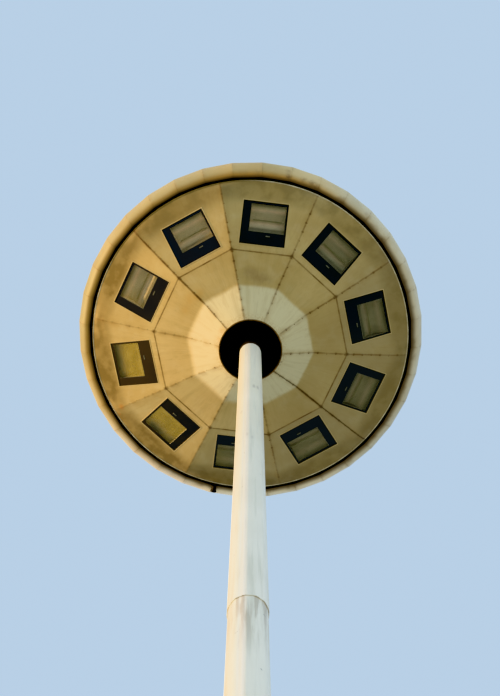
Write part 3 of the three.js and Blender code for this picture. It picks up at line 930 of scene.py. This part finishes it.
# Tray panels
# Ten sheets with two bends each form the pale underside; their joints have rusted.
# Each has a square opening with a folded edge for its floodlight, and a lip round the tray.
tray_seam = math.radians(first_seam)
sector_half = math.pi / sectors
tray_edge, tray_lip = 1.750, 0.006
rim_middle, fold_middle = 1.066 * math.cos(sector_half), 0.690 * math.cos(sector_half)
hub_hole = 0.345
rim_drop, fold_drop, hub_drop = 0.311, 0.415, 0.650
tray_slope = math.atan2(rim_drop, tray_edge - rim_middle)
slope_up, slope_out = math.sin(tray_slope), math.cos(tray_slope)
sheet_rise, sheet_gap = 0.004, 0.0003
open_joints = {1: 0.0045, 6: 0.0022}
open_azimuth = math.radians(first_seam + 360 / sectors)
first_rivet, rivet_pitch = 0.44, 0.100
window_left, window_right = -0.259, 0.238
window_from, window_to = 0.079, 0.564
window_rise = (window_to - window_from) / 2
flat_end, bend_middle, bend_round, fold_round = 0.590, 0.700, 0.4, 0.075
crease_rise, crease_from, crease_to = 0.0018, -0.0015, 0.0005
fold_width, fold_proud, fold_sheet, fold_ease, fold_lip = 0.008, 0.0026, 0.0035, 0.0010, 0.0008
seam_strip = 0.004
panel_columns = [-4, -3, -2, -1.66, -1.33, -1, -0.66, -0.33, 0, 0.33, 0.66, 1, 1.33, 1.66, 2, 3, 4]
lip_outline = [
    (1.7440, -0.0045), (1.7458, -0.0060), (1.7482, -0.0060), (1.7500, -0.0045),
    (1.7500, 0.0182), (1.7482, 0.0200), (1.7458, 0.0200), (1.7440, 0.0182),
]
dark_rust, bright_rust, rust_wash = (0.17, 0.085, 0.028), (0.46, 0.17, 0.025), (0.60, 0.36, 0.10)
tray_marks = [
    ((0.336, 0.129, 24.361), 0.022, 0.95, dark_rust), ((0.318, 0.162, 24.366), 0.017, 0.80, dark_rust),
    ((-0.030, -0.800, 24.630), 0.130, 0.24, dark_rust), ((0.070, -0.760, 24.617), 0.150, 0.34, dark_rust),
    ((0.165, -0.710, 24.603), 0.110, 0.26, dark_rust),
    ((-1.431, 0.803, 24.921), 0.050, 0.95, bright_rust), ((-1.462, 0.905, 24.961), 0.030, 0.60, bright_rust),
    ((-0.656, -0.492, 24.627), 0.110, 0.40, rust_wash), ((-0.569, -0.574, 24.621), 0.100, 0.40, rust_wash),
    ((-0.705, -0.388, 24.627), 0.100, 0.36, rust_wash),
    ((-0.314, -0.207, 24.370), 0.060, 0.55, rust_wash), ((-0.346, -0.119, 24.364), 0.045, 0.50, rust_wash),
]


def rows_between(start, end, shares):
    """Rows at shares of the way from one row to another."""
    return [tuple(p + (q - p) * t for p, q in zip(start, end)) for t in shares]


def up_slope(distance):
    """The row at a distance up the outer slope."""
    return 0, rim_middle + distance * slope_out, -rim_drop + distance * slope_up


def tray_rows():
    """The sheet's underside from the hub outwards, as rows of (arc part, straight part, height).
    A row's reach at an angle is its arc part plus its straight part over the cosine."""
    quarters = (0.25, 0.5, 0.75, 1.0)
    hub, fold, rim = (hub_hole, 0, -hub_drop), (0, fold_middle, -fold_drop), (0, rim_middle, -rim_drop)
    rows = rows_between(hub, fold, (0.0, 0.01, 0.35, 0.7, 1 - fold_round))
    before, crease = Vector(rows[-1]), Vector(fold)
    after = crease + (Vector(rim) - crease) * fold_round
    rows += [tuple(before * (1 - s) ** 2 + crease * 2 * s * (1 - s) + after * s * s) for s in quarters]
    rows += rows_between(fold, rim, (0.35, 0.7, 0.985))
    rows += [(0, rim_middle + offset, -rim_drop + crease_rise) for offset in (crease_from, crease_to)]
    rows += [up_slope(s) for s in (0.002, 0.03, window_from, 0.20, 0.32, 0.44, window_to, flat_end)]
    middle = rim_middle + bend_middle * slope_out
    bend = (middle * bend_round, middle * (1 - bend_round), -rim_drop + bend_middle * slope_up)
    edge = (tray_edge - tray_lip, 0, -tray_lip * math.tan(tray_slope))
    return rows + rows_between(up_slope(flat_end), bend, quarters) + rows_between(bend, edge, quarters)


def panel_point(row, column, gaps):
    """A point of the underside. Columns count from one joint to the other."""
    arc, straight, height = row
    middle = arc + straight
    seam_side = -1 if column < 0 else 1
    window_side = window_right if column > 0 else -window_left
    slope_reach = min(max(middle, rim_middle), rim_middle + flat_end * slope_out)
    window_angle = math.atan(window_side / slope_reach)

    def spot(angle):
        return polar(arc + straight / math.cos(angle), angle, edge_level + height)

    kind = abs(column)
    if kind <= 1:
        return spot(math.atan(math.tan(window_angle) * column))
    if kind < 2:
        seam_angle = sector_half - seam_strip / max(middle, hub_hole)
        return spot(seam_side * (window_angle + (seam_angle - window_angle) * (kind - 1)))
    inward, rise = {2: (seam_strip, 0.0), 3: (0.0014, 0.0003), 4: (0.0, 0.0016)}[kind]
    gap = gaps[0] if seam_side < 0 else gaps[1]
    seam = seam_side * sector_half
    back = Vector((math.sin(seam), -math.cos(seam), 0)) * seam_side * (gap / 2 + inward)
    return spot(seam) + back + Vector((0, 0, rise))


def panel_sheet(gaps):
    """One panel at azimuth 0, with its lip and its opening."""
    rows = tray_rows()
    under = [[panel_point(row, column, gaps) for column in panel_columns] for row in rows]
    over = [[point + Vector((0, 0, sheet_rise)) for point in row] for row in under]
    under += [[panel_point((reach, 0, height), column, gaps) for column in panel_columns]
              for reach, height in lip_outline]
    over += [over[-1]] * len(lip_outline)

    def row_at(distance):
        return next(i for i, row in enumerate(rows) if abs(row[2] - up_slope(distance)[2]) < 1e-6)

    hole = (row_at(window_from), row_at(window_to), panel_columns.index(-1), panel_columns.index(1))
    stock = Stock()
    stock.sheet(under, over, [[(point.y, point.x) for point in row] for row in under], hole=hole)
    return stock


def opening_place():
    """The opening's own place: X along the tray's rim, Y up its slope and Z out of its underside."""
    _, reach, height = up_slope((window_from + window_to) / 2)
    return Matrix(((0, slope_out, slope_up, reach),
                   (1, 0, 0, 0),
                   (0, slope_up, -slope_out, edge_level + height),
                   (0, 0, 0, 1)))


to_opening = opening_place()


def folded_edge(stock):
    """The opening's edge, folded back on itself, so that it stands a little proud."""
    section = [(0.0, -fold_sheet), (0.0, fold_proud - fold_lip), (fold_lip, fold_proud),
               (fold_width - fold_ease, fold_proud), (fold_width, fold_proud - fold_ease),
               (fold_width, -0.0003), (fold_ease, -0.0003), (fold_ease, -fold_sheet)]
    loops = []
    for out, level in section:
        left, right, rise = window_left - out, window_right + out, window_rise + out
        corners = ((left, -rise), (right, -rise), (right, rise), (left, rise))
        loops.append([to_opening @ Vector((x, y, level)) for x, y in corners])
    stock.bands(loops, 1, closed=True)


def tray_finish():
    """The tray's paint: rusted joints and streaks, with painted light and shade: tones by side, a paler cone
    at the hub and a darker outer band, partly dirt and partly painted shade.
    """
    cream = weathered_cream("tray_paint", 0.6)
    across, out = sheet_marks(cream)
    east, north, _ = cream.parts()
    broken = cream.noise(9.0, 6.0).fade(0.36, 0.66)
    fine = cream.noise(60.0, 5.0).fade(0.35, 0.7)
    reach = cream.math("POWER", out.scaled(out, across * across), 0.5)

    # Sides by direction, which carry painted light and shade: toward the warm lamp, toward azimuth 240 and
    # toward azimuth 36.
    warm_lamp_side = north.scaled(-0.5, east).fade(0.4, -1.3)
    shade_side = north.scaled(0.866, east * 0.5)
    lamp_far_side = north.scaled(0.59, east * 0.81).fade(0.1, 0.8)

    # The flat ring between the bends, the cone at the hub and the darker outer band, partly dirt and partly
    # painted shade.
    ring = out.fade(rim_middle + 0.002, rim_middle - 0.002)
    blur = warm_lamp_side.scaled(0.040, 0.018)
    cone = cream.noise(4.0).scaled(0.05, out - (fold_middle + 0.023)).fade(blur, blur * -1.0)
    low_ring = out.fade(0.90, fold_middle) * cream.noise(3.0, 5.0).fade(0.30, 0.70)
    outer = out.fade(1.46, 1.61) * warm_lamp_side.scaled(0.5, 1.0)
    mottled = outer * cream.noise(7.0, 7.0).fade(0.36, 0.66)

    # Lines and halos along the joints and along the bend, with a stain at each rivet.
    to_seam = (out * math.tan(sector_half) - abs(across)) * math.cos(sector_half)
    to_crease = abs(out - rim_middle)
    pace = cream.math("FRACT", (reach - (first_rivet - rivet_pitch / 2)) / rivet_pitch)
    by_rivet = abs(pace - 0.5).fade(0.16, 0.03)
    # Joint lines and rivet stains fade where painted light falls: on the lamp side and on the cone.
    faint_where_lit = warm_lamp_side.scaled(-0.60, 1.0) * cone.scaled(-0.35, 1.0)
    seam_line = to_seam.fade(0.015, 0.003) * broken.scaled(0.38, 0.24)
    crease_line = to_crease.fade(0.012, 0.003) * broken.scaled(0.45, 0.42)
    stain = to_seam.fade(0.018, 0.007) * (by_rivet * broken)
    junction = to_seam.fade(0.030, 0.004) * to_crease.fade(0.034, 0.004)
    to_open = abs(east * math.sin(open_azimuth) - north * math.cos(open_azimuth))
    bare = cream.math("MAXIMUM", ring, warm_lamp_side.scaled(0.45, 0.55))
    open_edge = to_open.fade(0.019, 0.005) * (broken.scaled(0.40, 0.50) * cone.scaled(-0.55, 1.0) * bare)

    # Streaks and fine threads that run outwards, and a painted highlight along the edge.
    rays = cream.value("CombineXYZ", {0: across / out, 1: out, 2: cream.noise(0.6)})
    streaks = cream.noise(14.0, 6.0, (1, 0.09, 1), rays).fade(0.45, 0.72)
    threads = cream.noise(70.0, 3.0, (1, 0.03, 1), rays).fade(0.50, 0.75)
    edge_highlight = shade_side.fade(-1.62, -1.32) * broken.scaled(0.45, 0.55)

    # Painted shade: darker on the side away from the warm lamp.
    cream.layer(lamp_far_side * ring.scaled(-0.20, 0.44), (0.28, 0.24, 0.15))
    # Painted light: a golden layer on the flat ring toward the warm lamp.
    cream.layer(ring * (warm_lamp_side * 0.55), (0.80, 0.59, 0.275))
    # Painted shade: darker near the bend on the side away from the lamp.
    cream.layer(low_ring * warm_lamp_side.scaled(-0.22, 0.22), (0.34, 0.28, 0.115))
    # Painted light: the cone at the hub is paler.
    cream.layer(cone * 0.85, (0.73, 0.66, 0.42))
    cream.layer(streaks * 0.25, (0.42, 0.31, 0.12))
    cream.layer(threads * 0.16, (0.34, 0.23, 0.08))
    # The darker outer band: partly dirt, partly painted shade.
    cream.layer(mottled.scaled(0.30, outer * 0.42), (0.23, 0.165, 0.058))
    # Darker at the outer edge toward azimuth 240, on the shade side.
    cream.layer(shade_side.fade(-1.30, -1.58) * 0.38, (0.20, 0.165, 0.075))
    cream.layer(out.fade(0.43, 0.34) * fine * 0.45, (0.42, 0.27, 0.08))
    for spot, size, share, rusty in tray_marks:
        cloudy = broken.scaled(share * 0.6, share * 0.5)
        cream.layer(distance_to(cream, spot).fade(size, 0.0) * cloudy, rusty)
    cream.layer(to_seam.fade(0.065, 0.0) * broken * 0.35, (0.36, 0.23, 0.075))
    cream.layer(to_crease.fade(0.050, 0.0) * fine * 0.25, (0.36, 0.23, 0.075))
    cream.layer(cream.math("MAXIMUM", seam_line * faint_where_lit, crease_line), (0.16, 0.085, 0.026))
    cream.layer(stain * (faint_where_lit * 0.65), (0.095, 0.050, 0.018))
    cream.layer(open_edge, (0.13, 0.068, 0.022))
    cream.layer(junction * 0.75, (0.11, 0.058, 0.020))
    # Painted highlight: a pale line along the tray's edge.
    cream.layer(reach.fade(1.7375, 1.7405) * edge_highlight, (0.80, 0.74, 0.58))
    return cream.done(cream.noise(80.0, 5.0), 0.0008)


def panel_turn(k):
    """Turns something from azimuth 0 to the middle of a panel."""
    return Matrix.Rotation(tray_seam + (2 * k + 1) * sector_half, 4, "Z")


# The folded edges of the openings take a paler cream: a painted highlight.
edge_paint = weathered_cream("edge_paint", 0.5)
edge_paint.layer(0.12, (0.78, 0.72, 0.56))
panel_finishes = [tray_finish(), edge_paint.done()]
for k in range(sectors):
    panel = panel_sheet([open_joints.get(seam % sectors, sheet_gap) for seam in (k, k + 1)])
    folded_edge(panel)
    make_piece(f"tray_sheet_{k + 1:02d}", panel.placed(panel_turn(k)), panel_finishes, "carriage",
               [f"tray_panel_{k + 1:02d}"], 0.0, 30.0)

# Joint rivets
# Blind rivets hold the sheets together, in one straight row beside each joint.
# Their heads stand a few millimetres proud and have rusted brown.
beside_seam, rivet_radius, rivet_height = 0.0085, 0.0048, 0.0026


def rivet_rows_tree():
    """A straight row of domed heads, repeated round the tray."""
    tree, given = new_tree(
        "rivet_rows", Count="Int", First="Vector", Step="Vector", Rows="Int", Turn="Float",
        Radius="Float", Height="Float", Finish="Material",
    )
    line = made_by(tree, "MeshLine", {
        "Count": given["Count"], "Start Location": given["First"], "Offset": given["Step"],
    }, mode="OFFSET")
    ball = made_by(tree, "MeshUVSphere", {"Segments": 10, "Rings": 6, "Radius": given["Radius"]})
    squash = reckoned(tree, "DIVIDE", given["Height"], given["Radius"])
    flat = add_node(tree, "ShaderNodeCombineXYZ", {"X": 1.0, "Y": 1.0, "Z": squash}).outputs[0]
    dome = made_by(tree, "Transform", {"Geometry": ball, "Scale": flat})
    row = made_by(tree, "InstanceOnPoints", {"Points": line, "Instance": dome})
    real = made_by(tree, "RealizeInstances", {"Geometry": row})
    middle = made_by(tree, "MeshLine", {
        "Count": given["Rows"], "Start Location": (0, 0, 0), "Offset": (0, 0, 0),
    }, mode="OFFSET")
    number = made_by(tree, "InputIndex")
    angle = reckoned(tree, "MULTIPLY_ADD", number, 2 * math.pi / sectors, given["Turn"])
    rows = made_by(tree, "InstanceOnPoints", {
        "Points": middle, "Instance": real, "Rotation": along_z(tree, angle),
    })
    return close_tree(tree, rows, given["Finish"])


rivet_rows = rivet_rows_tree()


def at_joint(row):
    """Where a straight row of the underside meets the joint, as (reach, height)."""
    return row[1] / math.cos(sector_half), row[2]


def rivet_run(name, low, high, first, count):
    """Rivets beside each joint on the underside, between two points of (reach, height)."""
    rise = (high[1] - low[1]) / (high[0] - low[0])
    reach = first_rivet + first * rivet_pitch
    sizes = {
        "Count": count, "First": Vector((reach, beside_seam, edge_level + low[1] + (reach - low[0]) * rise)),
        "Step": Vector((rivet_pitch, 0, rivet_pitch * rise)), "Rows": sectors, "Turn": tray_seam,
        "Radius": rivet_radius, "Height": rivet_height, "Finish": rusted_steel.material,
    }
    grown(name, rivet_rows, sizes, "carriage")


fold_point, rim_point = at_joint((0, fold_middle, -fold_drop)), at_joint((0, rim_middle, -rim_drop))
rivet_run("rivets_hub_cone", (hub_hole, -hub_drop), fold_point, 0, 3)
rivet_run("rivets_middle_ring", fold_point, rim_point, 3, 4)
rivet_run("rivets_outer_slope", rim_point, at_joint(up_slope(flat_end)), 7, 5)

# Floodlights
# Each is a pressed steel box behind a black mask, with a trough reflector and a tube lamp.
# The mask is wider at the hub side and on one flank; beads and a catch hold the glass.
pane_left, pane_right = window_left + 0.093, window_right - 0.021
pane_low, pane_high = -window_rise + 0.149, window_rise - 0.031
pane_middle = (pane_low + pane_high) / 2
mask_face = -sheet_rise * slope_out - 0.0003
mask_back = mask_face - 0.004
mask_overlap = 0.018
box_depth, box_side, box_margin, box_wall, box_corner = 0.175, 0.046, 0.011, 0.003, 0.030
box_outline = ((0.0, mask_back), (0.002, -0.030), (0.010, -0.150), (0.015, -0.168), (0.026, -box_depth))
rib_pitch, rib_end = 0.11, 0.06
rib_outline = ((0.011, -box_depth + 0.004), (0.010, -box_depth + 0.0005))
trough_margin, trough_depth, trough_sheet, trough_steps = 0.006, 0.115, 0.001, 32
end_plate_mark = (0.0, -0.2)
trough_mouth = mask_back - 0.0005
lamp_radius, lamp_tip, lamp_shoulder = 0.0065, 0.004, 0.008
lamp_across, lamp_level, lamp_margin = pane_middle - 0.004, mask_back - 0.098, 0.004
holder_radius, holder_length = 0.009, 0.028
bead, bead_base, bead_top, bead_corner = 0.004, -0.001, 0.0016, 0.0006
catch_x, catch_y = 0.045, -0.136
catch_plates = ((0.024, 0.007, 0.004, -0.001, 0.0022), (0.018, 0.0025, 0.002, 0.002, 0.0034))
# Painted reflections in bands along the trough, with painted shadow at both ends.
shadow_band, dim_reflection, bright_reflection = (0.09, 0.09, 0.06), (0.37, 0.35, 0.23), (0.54, 0.46, 0.32)
painted_reflection_bands = [
    (0.00, shadow_band), (0.14, shadow_band), (0.24, dim_reflection), (0.38, bright_reflection), (0.50, dim_reflection),
    (0.73, dim_reflection), (0.83, bright_reflection), (0.90, dim_reflection), (0.97, shadow_band),
]


def level_loop(left, low, right, high, corner, level):
    """A rounded rectangle at one level."""
    outline = rounded_outline(right - left, high - low, corner, 4)
    return [Vector((u + (left + right) / 2, v + (low + high) / 2, level)) for u, v in outline]


def add_mask(stock):
    """The mask: a plate with the window cut beside its wide flank and its wide hub side."""
    across = [window_left - mask_overlap, pane_left, pane_right, window_right + mask_overlap]
    up = [-window_rise - mask_overlap, pane_low, pane_high, window_rise + mask_overlap]
    front, back = ([[Vector((x, y, level)) for x in across] for y in up] for level in (mask_face, mask_back))
    stock.sheet(front, back, hole=(1, 2, 1, 2))


def add_box(stock):
    """The pressed box: its corners are rounded and its sides draw in towards the back."""
    left, low = pane_left - box_side, pane_low - box_side
    right, high = pane_right + box_margin, pane_high + box_margin

    def loop(inset, corner, level):
        return level_loop(left + inset, low + inset, right - inset, high - inset, corner, level)

    skin = stock.bands([loop(inset, box_corner, level) for inset, level in box_outline])
    lining = stock.bands([loop(inset + box_wall, box_corner - box_wall, min(level + box_wall, mask_back))
                          for inset, level in box_outline])
    stock.face(skin[-1], 0)
    stock.face(lining[-1], 0)
    for j in range(len(skin[0])):
        k = (j + 1) % len(skin[0])
        stock.face([skin[0][j], skin[0][k], lining[0][k], lining[0][j]], 0)
    for k in (-1, 0, 1):
        middle = (left + right) / 2 + k * rib_pitch
        stock.stack([level_loop(middle - w, low + rib_end, middle + w, high - rib_end, w * 0.9, level)
                     for w, level in rib_outline])


def add_reflector(stock):
    """The trough across the window, with its two end plates."""
    half = (pane_high - pane_low) / 2
    left, right = pane_left - trough_margin, pane_right + trough_margin
    shares = [2 * i / trough_steps - 1 for i in range(trough_steps + 1)]

    def point(share, grow, x):
        drop = (trough_depth + grow) * (1 - share * share)
        return Vector((x, pane_middle + share * (half + grow), trough_mouth - drop))

    places = (left, (left + right) / 2, right)
    marks = [[(x, share) for x in places] for share in shares]
    trough, back = ([[point(share, grow, x) for x in places] for share in shares]
                    for grow in (0.0, trough_sheet))
    stock.sheet(trough, back, marks, finishes=(2, 2))
    for x, out in ((left, trough_sheet), (right, -trough_sheet)):
        plate = []
        for plane in (x + out, x):
            curve = [point(share, 0.0, plane) for share in shares]
            plate.append([curve, [Vector((plane, spot.y, trough_mouth)) for spot in curve]])
        stock.sheet(*plate, [[end_plate_mark] * len(shares)] * 2, finishes=(2, 2))


def add_lamp(stock):
    """The tube lamp along the trough, between its two holders."""
    def round_loop(x, size):
        return [Vector((x, lamp_across + size * math.cos(a), lamp_level + size * math.sin(a)))
                for a in full_turn(20)]

    def rod(places, finish):
        stock.stack([round_loop(x, size) for x, size in places], finish)

    left, right = pane_left + lamp_margin, pane_right - lamp_margin
    from_left, from_right = left + holder_length, right - holder_length
    rod(((from_left, lamp_tip), (from_left + lamp_shoulder, lamp_radius),
         (from_right - lamp_shoulder, lamp_radius), (from_right, lamp_tip)), 3)
    rod(((left, holder_radius), (from_left, holder_radius)), 2)
    rod(((from_right, holder_radius), (right, holder_radius)), 2)


def add_pad(stock, left, low, right, high, base, top, corner):
    """A low plate on the mask, with rounded corners and an eased upper edge."""
    ease = (top - base) * 0.35
    inner_corner = max(corner - ease, 0.0004)
    stock.stack([
        level_loop(left, low, right, high, corner, mask_face + base),
        level_loop(left, low, right, high, corner, mask_face + top - ease),
        level_loop(left + ease, low + ease, right - ease, high - ease, inner_corner, mask_face + top),
    ], 1)


def reflector_finish():
    """Brushed aluminium with painted reflections in bands along the trough and painted shadow at its ends;
    one side is brightened as painted light, but darker next to the hub as painted shade.
    """
    metal = Finish("reflector_aluminium", 0.50, 0.08)
    east, north, _ = metal.parts()
    share = sheet_marks(metal)[1]
    bands = add_node(metal.tree, "ShaderNodeValToRGB", {0: share.scaled(0.5, 0.5)})
    ramp = bands.color_ramp
    for element, (position, colour) in zip(ramp.elements, (painted_reflection_bands[0], painted_reflection_bands[-1])):
        element.position, element.color = position, (*colour, 1)
    for position, colour in painted_reflection_bands[1:-1]:
        ramp.elements.new(position).color = (*colour, 1)
    metal.colour = Value(metal, bands.outputs[0])
    dull = metal.noise(8.0, 6.0).fade(0.35, 0.75)
    brightened_side = east.scaled(-0.42, north * -0.906)
    metal.layer(dull * 0.15, (0.26, 0.24, 0.14))
    # Painted light: the reflectors on one side are brightened.
    metal.tone(brightened_side.fade(0.30, 1.10), (1.80, 1.70, 1.80))
    reach = distance_to(metal, (0, 0, 0), (1, 1, 0))
    # Painted shade: darker next to the hub on that side.
    toned_by_azimuth(metal, reach, [(240, 54, 3, (0.40, 0.43, 0.42), 0.0, 1.21)])
    metal.give("Roughness", dull.scaled(0.15, 0.48))
    return metal.done()


def glass_finish():
    """Clear toughened glass under a film of tan dust; on the side toward the warm lamp a thicker, warm film
    is painted light, thinning towards the outer end.
    """
    glass = Finish("dusty_glass", 0.06)
    east, north, height = glass.parts()
    dust = glass.noise(9.0, 6.0).fade(0.3, 0.8)
    warm_lamp_side = north.scaled(-0.55, east).fade(-0.85, -1.32)
    hub_end = height.fade(24.888, 24.832)
    plain = glass.mix(dust, (0.26, 0.25, 0.16), (0.34, 0.32, 0.20))
    # Painted light: warm colours for the panes on the lamp side.
    painted_sunlight = glass.mix(dust, (0.48, 0.38, 0.11), (0.58, 0.46, 0.145))
    glass.colour = glass.mix(warm_lamp_side, plain, painted_sunlight)
    # Painted light: a thicker film on the lamp side, thinning to the outer end.
    glass.give("Alpha", warm_lamp_side * hub_end.scaled(0.47, -0.09) + dust.scaled(0.10, 0.10))
    glass.material.surface_render_method = "BLENDED"
    return glass.done()


dusty_glass = glass_finish()
pale_bead = two_shades("pale_bead", 0.45, (30.0, 5.0, 0.3, 0.7), (0.24, 0.24, 0.20), (0.15, 0.15, 0.12),
                       metallic=0.5)
lamp_tube = two_shades("lamp_tube", 0.5, (20.0, 3.0, 0.3, 0.7), (0.34, 0.33, 0.19), (0.30, 0.30, 0.17),
                       shine=0.3)
light_finishes = [black_paint, pale_bead, reflector_finish(), lamp_tube]
floodlight = Stock()
add_mask(floodlight)
add_box(floodlight)
add_reflector(floodlight)
add_lamp(floodlight)
for right, high in ((pane_left, pane_high), (pane_right, pane_low)):
    add_pad(floodlight, pane_left - bead, pane_low - bead, right, high, bead_base, bead_top, bead_corner)
for half_width, half_height, corner, base, top in catch_plates:
    add_pad(floodlight, catch_x - half_width, catch_y - half_height, catch_x + half_width,
            catch_y + half_height, base, top, corner)
for k in range(sectors):
    place = panel_turn(k) @ to_opening
    make_piece(f"floodlight_unit_{k + 1:02d}", floodlight.placed(place), light_finishes, "carriage",
               [f"floodlight_{k + 1:02d}"], 0.0, 35.0)
    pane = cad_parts[f"floodlight_glass_{k + 1:02d}"]
    pane.data.materials.clear()
    pane.data.materials.append(dusty_glass.material)

# Floor, light and camera
# A plain pale floor under the tower and soft light: a low warm lamp from the left and a pale
# surround. The camera stands at eye height near the foot and looks up at the head.
floor_size = 90.0
lamp_distance = 40
eye = Vector((0.0, -5.643, 1.61))
tilt, swing, roll = math.radians(76.125), math.radians(-0.050), math.radians(0.577)
sensor_width, focal_pixels, picture_height = 36.0, 2170, 696


def place_lamp(name, energy, colour, softness, height, azimuth):
    """A far lamp that shines on the tower from a height and an azimuth in degrees."""
    lamp = bpy.data.lights.new(name, "SUN")
    lamp.energy = energy
    lamp.color = colour
    lamp.angle = math.radians(softness)
    up = math.radians(height)
    toward = polar(math.cos(up), math.radians(azimuth), math.sin(up))
    stand = new_object(name, lamp)
    stand.rotation_mode = "QUATERNION"
    stand.rotation_quaternion = toward.to_track_quat("Z", "Y")
    stand.location = toward * lamp_distance


floor_mesh = bpy.data.meshes.new("floor")
floor_corners = [(x * floor_size, y * floor_size, -0.001) for x, y in ((-1, -1), (1, -1), (1, 1), (-1, 1))]
floor_mesh.from_pydata(floor_corners, [], [(0, 1, 2, 3)])
floor_paint = two_shades("floor_paint", 0.9, (0.4, 4.0), (0.80, 0.67, 0.47), (0.77, 0.64, 0.45))
floor_mesh.materials.append(floor_paint.material)
floor = new_object("floor", floor_mesh)

surround = bpy.data.worlds.new("surround")
surround.use_nodes = True
background = surround.node_tree.nodes["Background"]
background.inputs["Color"].default_value = (0.530, 0.680, 0.846, 1)
background.inputs["Strength"].default_value = 1.0
bpy.context.scene.world = surround

place_lamp("warm_lamp", 5.7, (1.0, 0.63, 0.25), 8.0, 1.5, 184.0)
place_lamp("pale_lamp", 0.85, (0.86, 1.0, 1.08), 40.0, 3.0, 292.0)

forward = Vector((math.sin(swing) * math.cos(tilt), math.cos(swing) * math.cos(tilt), math.sin(tilt)))
level_right = Vector((math.cos(swing), -math.sin(swing), 0))
level_up = level_right.cross(forward)
right = math.cos(roll) * level_right + math.sin(roll) * level_up
upward = -math.sin(roll) * level_right + math.cos(roll) * level_up
lens = bpy.data.cameras.new("camera")
lens.sensor_width = sensor_width
lens.lens = focal_pixels / picture_height * sensor_width
lens.clip_end = 300.0
camera = new_object("camera", lens)
camera.matrix_world = Matrix.Translation(eye) @ Matrix((right, upward, -forward)).transposed().to_4x4()
bpy.context.scene.camera = camera
bpy.context.scene.view_settings.view_transform = "Khronos PBR Neutral"
